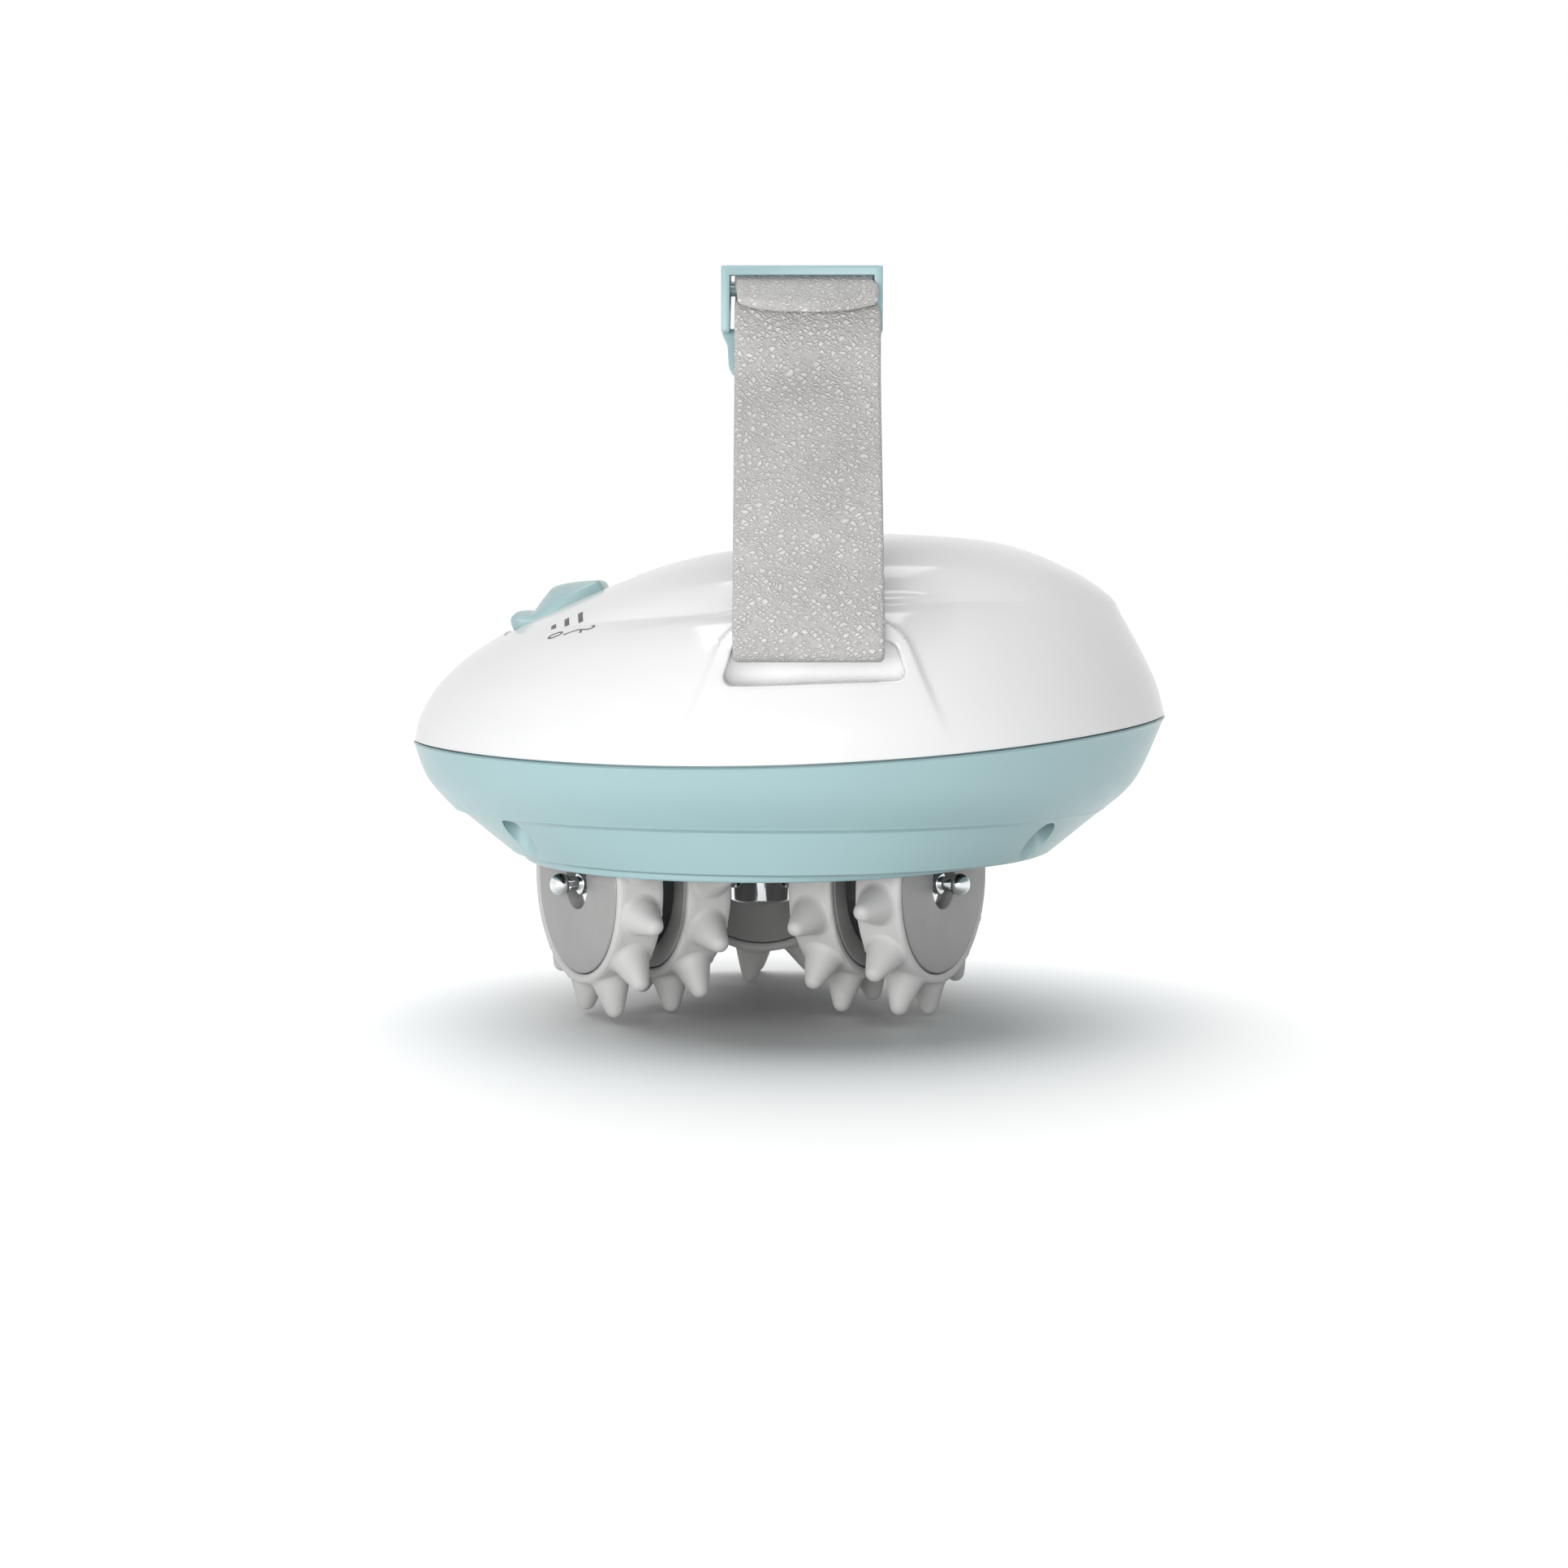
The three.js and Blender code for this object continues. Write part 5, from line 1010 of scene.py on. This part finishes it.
# Painted shade: the leather's colour is darkened to about three quarters in the creases, where shade would
# fall, and made a little lighter between them
painted_crease_shade = leather.span(fold, 0.0, 1.0, 0.74, 1.04)
darker = leather.node("ShaderNodeMixRGB", {"blend_type": "MULTIPLY"}, {0: 1.0, 1: toned, 2: painted_crease_shade})
leather.set({"Base Color": darker, "Roughness": leather.span(stain, 0.3, 0.7, 0.66, 0.52)})
leather.bump(fold + 0.5 * leather.noise(3000, 2), 0.00036, 0.7)
fit(near_run, leather, "body", "leather", "strap_adjusting_run")

top = STRAP_TOP_Z - STRAP / 2
far = [(-y, z) for y, z in eye + up]
far += [(SHOULDER_Y + 1.5, SHOULDER_Z - 6), (SHOULDER_Y - 4.5, SHOULDER_Z + 6.5)]
far += [(SHOULDER_Y - 15, top - 0.2), (0, top), (rear_bar[0] + 6, top - 1.8)]
far += arc(rear_bar, bar_loop, 80, 280, 6)
far += [(rear_bar[0] + 4, rear_bar[1] - 1.4), (rear_bar[0] + 8.5, rear_bar[1] + 0.6)]
far_run = strap_run("strap_far_run", far, 210)
shade(far_run, 60)
fit(far_run, leather, "body", "leather", "strap_fixed_run")


# Buckle: a moulded aqua frame with two side rails, three cross bars and a tapered tongue that
# lies behind the near run.
RAIL = 1.6
rail_view = [(front_y, BUCKLE_LOW_Z, 0.6), (front_y + 3.4, BUCKLE_LOW_Z, 0.6)]
rail_view += [(back_y, rear_bar[1] - 1.4, 1.2), (back_y, BUCKLE_TOP_Z, 0.9), (front_y, BUCKLE_TOP_Z, 0.5)]


def plate(name, view, x0, x1, edge=0.35):
    """A flat piece from its outline across the body, with its rim rounded over."""
    out = rounded(view, 4)
    centre = sum(out, Vector((0, 0))) / len(out)
    rings = [[(x0, centre.x, centre.y)]]
    for x, inset in ((x0, edge), (x0 + 0.3 * edge, 0.3 * edge), (x0 + edge, 0), (x1 - edge, 0)):
        rings.append(shrunk(out, inset, x))
    rings += [shrunk(out, 0.3 * edge, x1 - 0.3 * edge), shrunk(out, edge, x1), [(x1, centre.x, centre.y)]]
    return skin(name, rings)


def shrunk(outline, inset, x):
    """The outline at a place across the body, moved in by so much."""
    ring = []
    for i, p in enumerate(outline):
        way = outline[(i + 1) % len(outline)] - outline[i - 1]
        inward = Vector((-way.y, way.x)).normalized() * inset
        ring.append((x, p.x + inward.x, p.y + inward.y))
    return ring


buckle = plate("buckle_frame", rail_view, BUCKLE_X - BUCKLE_HALF - RAIL, BUCKLE_X - BUCKLE_HALF)
cut(buckle, plate("rail", rail_view, BUCKLE_X + BUCKLE_HALF, BUCKLE_X + BUCKLE_HALF + RAIL), "UNION")
x0, x1 = BUCKLE_X - BUCKLE_HALF - 0.8, BUCKLE_X + BUCKLE_HALF + 0.8
top_bar = [(front_y, BUCKLE_TOP_Z - 1.8, 0.4), (front_y + 2, BUCKLE_TOP_Z - 1.8, 0.4)]
top_bar += [(front_y + 2, BUCKLE_TOP_Z, 0.4), (front_y, BUCKLE_TOP_Z, 0.4)]
cut(buckle, plate("top_bar", top_bar, x0, x1, 0.1), "UNION")
for centre in (near_bar, rear_bar):
    rod = drill("rod", BAR, x0, x1, centre[1], 24)
    rod.data.transform(moved(0, centre[0], 0))
    cut(buckle, rod, "UNION")
tongue_half = BUCKLE_HALF + RAIL
tongue_y = front_y + 3.2
TONGUE_LEAN = 0.33
plan = [(-tongue_half + 1.5, -8.8, 3.2), (tongue_half - 1.5, -8.8, 3.2), (tongue_half - 1.1, -2.2, 1.5)]
plan += [(tongue_half - 0.15, -0.2, 0.8), (tongue_half - 0.15, 1, 0.6), (-tongue_half + 0.15, 1, 0.6)]
plan += [(-tongue_half + 0.15, -0.2, 0.8), (-tongue_half + 1.1, -2.2, 1.5)]
outline = rounded(plan, 5)
tongue_rings = []
for deep, inset in ((0.0, 0.5), (0.15, 0.15), (0.5, 0.0), (1.1, 0.0), (1.45, 0.15), (1.6, 0.5)):
    ring = []
    for x, v, z in shrunk(outline, inset, 0):
        ring.append((BUCKLE_X + v, tongue_y - (1 - z) * TONGUE_LEAN + deep, BUCKLE_LOW_Z + z))
    tongue_rings.append(ring)
tongue_rings = [middle_of(tongue_rings[0])] + tongue_rings + [middle_of(tongue_rings[-1])]
cut(buckle, skin("tongue", tongue_rings), "UNION")
shade(buckle, 40)
fit(buckle, aqua, "body", "aqua_plastic", "buckle")


# Drive spindle: a polished steel post, plated bright, that hangs from the output gear and carries
# the inner ends of the three axles.
chrome = Finish("bright_chrome", (0.82, 0.83, 0.84), 0.08, {"Metallic": 1.0})
chrome.set({"Roughness": chrome.span(chrome.noise(900, 4), 0.35, 0.75, 0.05, 0.14)})
chrome.bump(chrome.noise(2400, 2), 0.000004, 0.3)
spindle_low, spindle_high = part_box("drive_spindle")
axle_z = (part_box("far_axle")[0].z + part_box("far_axle")[1].z) / 2 / MM
CARRIER_PLATE = 2.3
SPINDLE_RADIUS = 6.3
SPINDLE_NECK = 4
plate_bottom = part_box("roller_carrier")[1].z / MM - CARRIER_PLATE
z0, z1 = spindle_low.z / MM, spindle_high.z / MM
section = [(0, z0, 0), (SPINDLE_RADIUS, z0, 0.7), (SPINDLE_RADIUS, plate_bottom - GAP, 0.3)]
section += [(SPINDLE_NECK, plate_bottom - GAP, 0), (SPINDLE_NECK, z1, 0.4), (0, z1, 0)]
spindle = turned("drive_spindle_post", rounded(section, 5), 64)
ARMS = {"far": 90, "left": 210, "right": 330}
for angle in ARMS.values():
    hole_in_post = drill("axle_hole", 2.5, 3.7, 9, axle_z, 32)
    hole_in_post.data.transform(Matrix.Rotation(math.radians(angle), 4, "Z"))
    cut(spindle, hole_in_post)
spindle.data.transform(moved(HEAD_X, 0, 0))
shade(spindle, 35)
fit(spindle, chrome, "head", "chrome", "drive_spindle")


# Rollers: six in pairs on three axles. Each is a grey moulded disc with a soft rubber tyre round
# it that carries a row of twelve blunt nubs, moulded in one with the tyre.
INNER_REACH = 21.8
OUTER_REACH = 36.3
ROLLER_WIDTH = 9.3
TYRE_INNER = 17.6
TYRE_RADIUS = 19.4
HUB_RADIUS = 17.35
NUB_TIP = 26.5
NUB_TIP_ROUND = 1.8
NUB_BASE = 3.7
NUB_COUNT = 12
AXLE_RADIUS = 2.2
RECESS_RADIUS = 4.9
RECESS_DEPTH = 2.6
# How far the lowest nub leans from plumb on each arm's inner and outer roller, in degrees
LEANS = {"far": (6, 3), "left": (6, 17), "right": (-13.7, -23.2)}
dull = {"Sheen Weight": 0.12, "Specular IOR Level": 0.4}
rubber = Finish("soft_grey_rubber", (0.54, 0.535, 0.527), 0.55, dull)
mottle = rubber.noise(60, 4)
rubber.set({"Base Color": rubber.ramp(mottle, [(0.32, (0.51, 0.505, 0.497)), (0.68, (0.57, 0.565, 0.557))])})
rubber.set({"Roughness": rubber.span(rubber.noise(300, 4), 0.3, 0.7, 0.48, 0.62)})
rubber.bump(rubber.noise(1300, 3), 0.00002, 0.45)
grey = Finish("grey_satin_plastic", (0.305, 0.302, 0.298), 0.36)
swirl = grey.noise(40, 4)
grey.set({"Base Color": grey.ramp(swirl, [(0.32, (0.29, 0.287, 0.283)), (0.68, (0.32, 0.317, 0.313))])})
grey.set({"Roughness": grey.span(grey.noise(260, 4), 0.3, 0.7, 0.3, 0.42)})
grey.bump(grey.noise(2000, 2), 0.000008, 0.4)

half = ROLLER_WIDTH / 2
band = [(TYRE_INNER, -half + 0.35, 0.2), (TYRE_INNER + 0.5, -half, 0.3), (TYRE_RADIUS - 0.2, -half, 1.0)]
band += [(TYRE_RADIUS, -half + 1.2, 0.8), (TYRE_RADIUS, half - 1.2, 0.8), (TYRE_RADIUS - 0.2, half, 1.0)]
band += [(TYRE_INNER + 0.5, half, 0.3), (TYRE_INNER, half - 0.35, 0.2)]
# The nub's outline above the tyre: a flared foot, a straight side and a round tip
nub_side = [(NUB_BASE + 0.75, -0.05), (NUB_BASE + 0.35, 0.1), (NUB_BASE, 0.42), (NUB_BASE - 0.25, 0.95)]
tip_centre = NUB_TIP - NUB_TIP_ROUND - TYRE_RADIUS
for k in range(1, 6):
    share = k / 6
    narrowed = NUB_BASE - 0.25 + (NUB_TIP_ROUND - NUB_BASE + 0.3) * share
    nub_side.append((narrowed, 0.95 + (tip_centre - 0.7) * share))
for k in range(1, 7):
    a = math.radians(12 + 78 * (k - 0.5) / 6)
    nub_side.append((NUB_TIP_ROUND * math.cos(a), tip_centre + NUB_TIP_ROUND * math.sin(a)))


def rounded_nub(turn):
    """One nub with its foot wrapped round the tyre, at an angle round the axle."""
    rings = [[(0, 0, TYRE_RADIUS - 0.9)]]
    sides = [(NUB_BASE + 0.6, -0.8)] + nub_side
    for r, h in sides:
        ring = []
        for k in range(28):
            a = 2 * math.pi * k / 28
            across, round_axle = r * math.cos(a), r * math.sin(a) / (TYRE_RADIUS + h)
            far_out = TYRE_RADIUS + h
            limit = min(max(across, -half + 0.05), half - 0.05)
            ring.append((limit, far_out * math.sin(round_axle), far_out * math.cos(round_axle)))
        rings.append(ring)
    rings.append([(0, 0, NUB_TIP)])
    piece = skin("nub", rings)
    piece.data.transform(Matrix.Rotation(turn, 4, "X"))
    return piece


for arm, angle in ARMS.items():
    swung = moved(HEAD_X, 0, axle_z) @ Matrix.Rotation(math.radians(angle), 4, "Z")
    for ring_name, reach, lean in zip(("inner", "outer"), (INNER_REACH, OUTER_REACH), LEANS[arm]):
        seat = swung @ moved(reach, 0, 0)
        name = "%s_%s" % (arm, ring_name)
        tyre = turned(name + "_tyre_nubbed", rounded(band, 4), 96, along_x)
        nubs = [rounded_nub(math.radians(180 + lean + 360 * k / NUB_COUNT)) for k in range(NUB_COUNT)]
        only(tyre)
        for one in nubs:
            one.select_set(True)
        bpy.ops.object.join()
        tyre.data.transform(seat)
        shade(tyre, 45)
        fit(tyre, rubber, name + "_roller", "grey_rubber", name + "_tyre")
        bore = AXLE_RADIUS + GAP
        disc = [(bore, -half, 0.2), (HUB_RADIUS, -half, 0.35), (HUB_RADIUS, half, 0.35)]
        if ring_name == "outer":
            disc += [(RECESS_RADIUS, half, 0.3), (RECESS_RADIUS, half - RECESS_DEPTH, 0)]
            disc += [(bore, half - RECESS_DEPTH, 0.1)]
        else:
            disc += [(bore, half, 0.2)]
        hub = turned(name + "_hub_disc", rounded(disc, 4), 96, seat @ along_x)
        fit(hub, grey, name + "_roller", "grey_plastic", name + "_hub")


# Axles: bright plated pins with a ball-shaped end, held in the carrier's hangers. An open clip in
# each outer roller's recess keeps the rollers on.
AXLE_START = 4
AXLE_END = 46.2
BALL = 2.15
AXLE_COLLAR = 3.2
AXLE_COLLAR_START = 6.9
CLIP = 0.8
CLIP_RADIUS = 3.9
CLIP_MOUTH = math.radians(38)
recess_floor = OUTER_REACH + half - RECESS_DEPTH
clip_in = recess_floor + GAP
groove = AXLE_RADIUS - 0.6
shoulder = INNER_REACH - half - GAP
pin_section = [(0, AXLE_START, 0), (AXLE_RADIUS, AXLE_START, 0.2), (AXLE_RADIUS, AXLE_COLLAR_START, 0)]
pin_section += [(AXLE_COLLAR, AXLE_COLLAR_START, 0.3), (AXLE_COLLAR, shoulder, 0.3)]
pin_section += [(AXLE_RADIUS, shoulder, 0), (AXLE_RADIUS, clip_in - 0.1, 0)]
pin_section += [(groove, clip_in - 0.1, 0), (groove, clip_in + CLIP + 0.1, 0)]
pin_section += [(AXLE_RADIUS, clip_in + CLIP + 0.1, 0.1), (AXLE_RADIUS, clip_in + CLIP + 0.9, 0.25)]
ball_centre = AXLE_END - BALL
pin_profile = rounded(pin_section + [(1.35, clip_in + CLIP + 1.2, 0.2)], 3)
for k in range(11):
    a = math.radians(-42 + 132 * k / 10)
    pin_profile.append(Vector((BALL * math.cos(a), ball_centre + BALL * math.sin(a))))
for arm, angle in ARMS.items():
    swung = moved(HEAD_X, 0, axle_z) @ Matrix.Rotation(math.radians(angle), 4, "Z")
    axle = turned(arm + "_axle_pin", pin_profile, 40, swung @ along_x)
    fit(axle, chrome, "head", "chrome", arm + "_axle")
    out = []
    inner_r = groove + 0.15
    for k in range(33):
        a = CLIP_MOUTH + (2 * math.pi - 2 * CLIP_MOUTH) * k / 32
        out.append((CLIP_RADIUS * math.cos(a), CLIP_RADIUS * math.sin(a), 0.15 if k in (0, 32) else 0))
    for k in range(33):
        a = 2 * math.pi - CLIP_MOUTH * 0.75 - (2 * math.pi - 1.5 * CLIP_MOUTH) * k / 32
        swing = 1.5 * (a - math.pi)
        bay = 0.9 * max(0, math.cos(swing)) ** 6 + 0.55 * abs(math.sin(swing)) ** 8
        out.append(((inner_r + bay) * math.cos(a), (inner_r + bay) * math.sin(a), 0.1 if k in (0, 32) else 0))
    clip = plate(arm + "_axle_clip_open", out, clip_in, clip_in + CLIP, 0.12)
    clip.data.transform(swung)
    shade(clip, 40)
    fit(clip, chrome, "head", "chrome", arm + "_axle_clip")


# Carrier: the black moulded plate that turns with the spindle, with a hanger between each pair
# of rollers. The solids of the frame are shown with their own finishes here and inside.
def dress(finish, *nodes):
    """Gives a solid of the frame its finish."""
    for node in nodes:
        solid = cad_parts[node]
        solid.data.materials.clear()
        solid.data.materials.append(finish.material)


dress(black, "roller_carrier", "slide_switch")


# Inside: chassis, cover and gears are natural acetal, the motor can, pin, ring and screws are
# plated steel, the bush and pinion sintered bronze, and the board green with solder mask.
acetal = Finish("natural_acetal", (0.8, 0.78, 0.72), 0.42)
acetal.set({"Roughness": acetal.span(acetal.noise(300, 4), 0.3, 0.7, 0.36, 0.5)})
acetal.bump(acetal.noise(1600, 2), 0.00001, 0.4)
bronze = Finish("sintered_bronze", (0.6, 0.44, 0.22), 0.4, {"Metallic": 1.0})
bronze.set({"Roughness": bronze.span(bronze.noise(900, 5), 0.3, 0.7, 0.32, 0.5)})
bronze.bump(bronze.noise(2200, 3), 0.00001, 0.5)
mask_green = Finish("green_solder_mask", (0.03, 0.14, 0.06), 0.35)
traces = mask_green.span(mask_green.noise(500, 1), 0.49, 0.51)
mask_green.set({"Base Color": mask_green.mix(traces, (0.025, 0.12, 0.05, 1), (0.045, 0.2, 0.085, 1))})
mask_green.bump(traces, 0.00002, 0.5)
dress(acetal, "gear_chassis", "gear_cover", "output_gear", "idler_gear")
dress(steel, "motor_can", "idler_pin", "spindle_retaining_ring")
dress(steel, *["gear_cover_screw_%d" % i for i in range(1, 5)])
dress(bronze, "spindle_bush", "motor_pinion")
dress(mask_green, "circuit_board")

low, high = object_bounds()
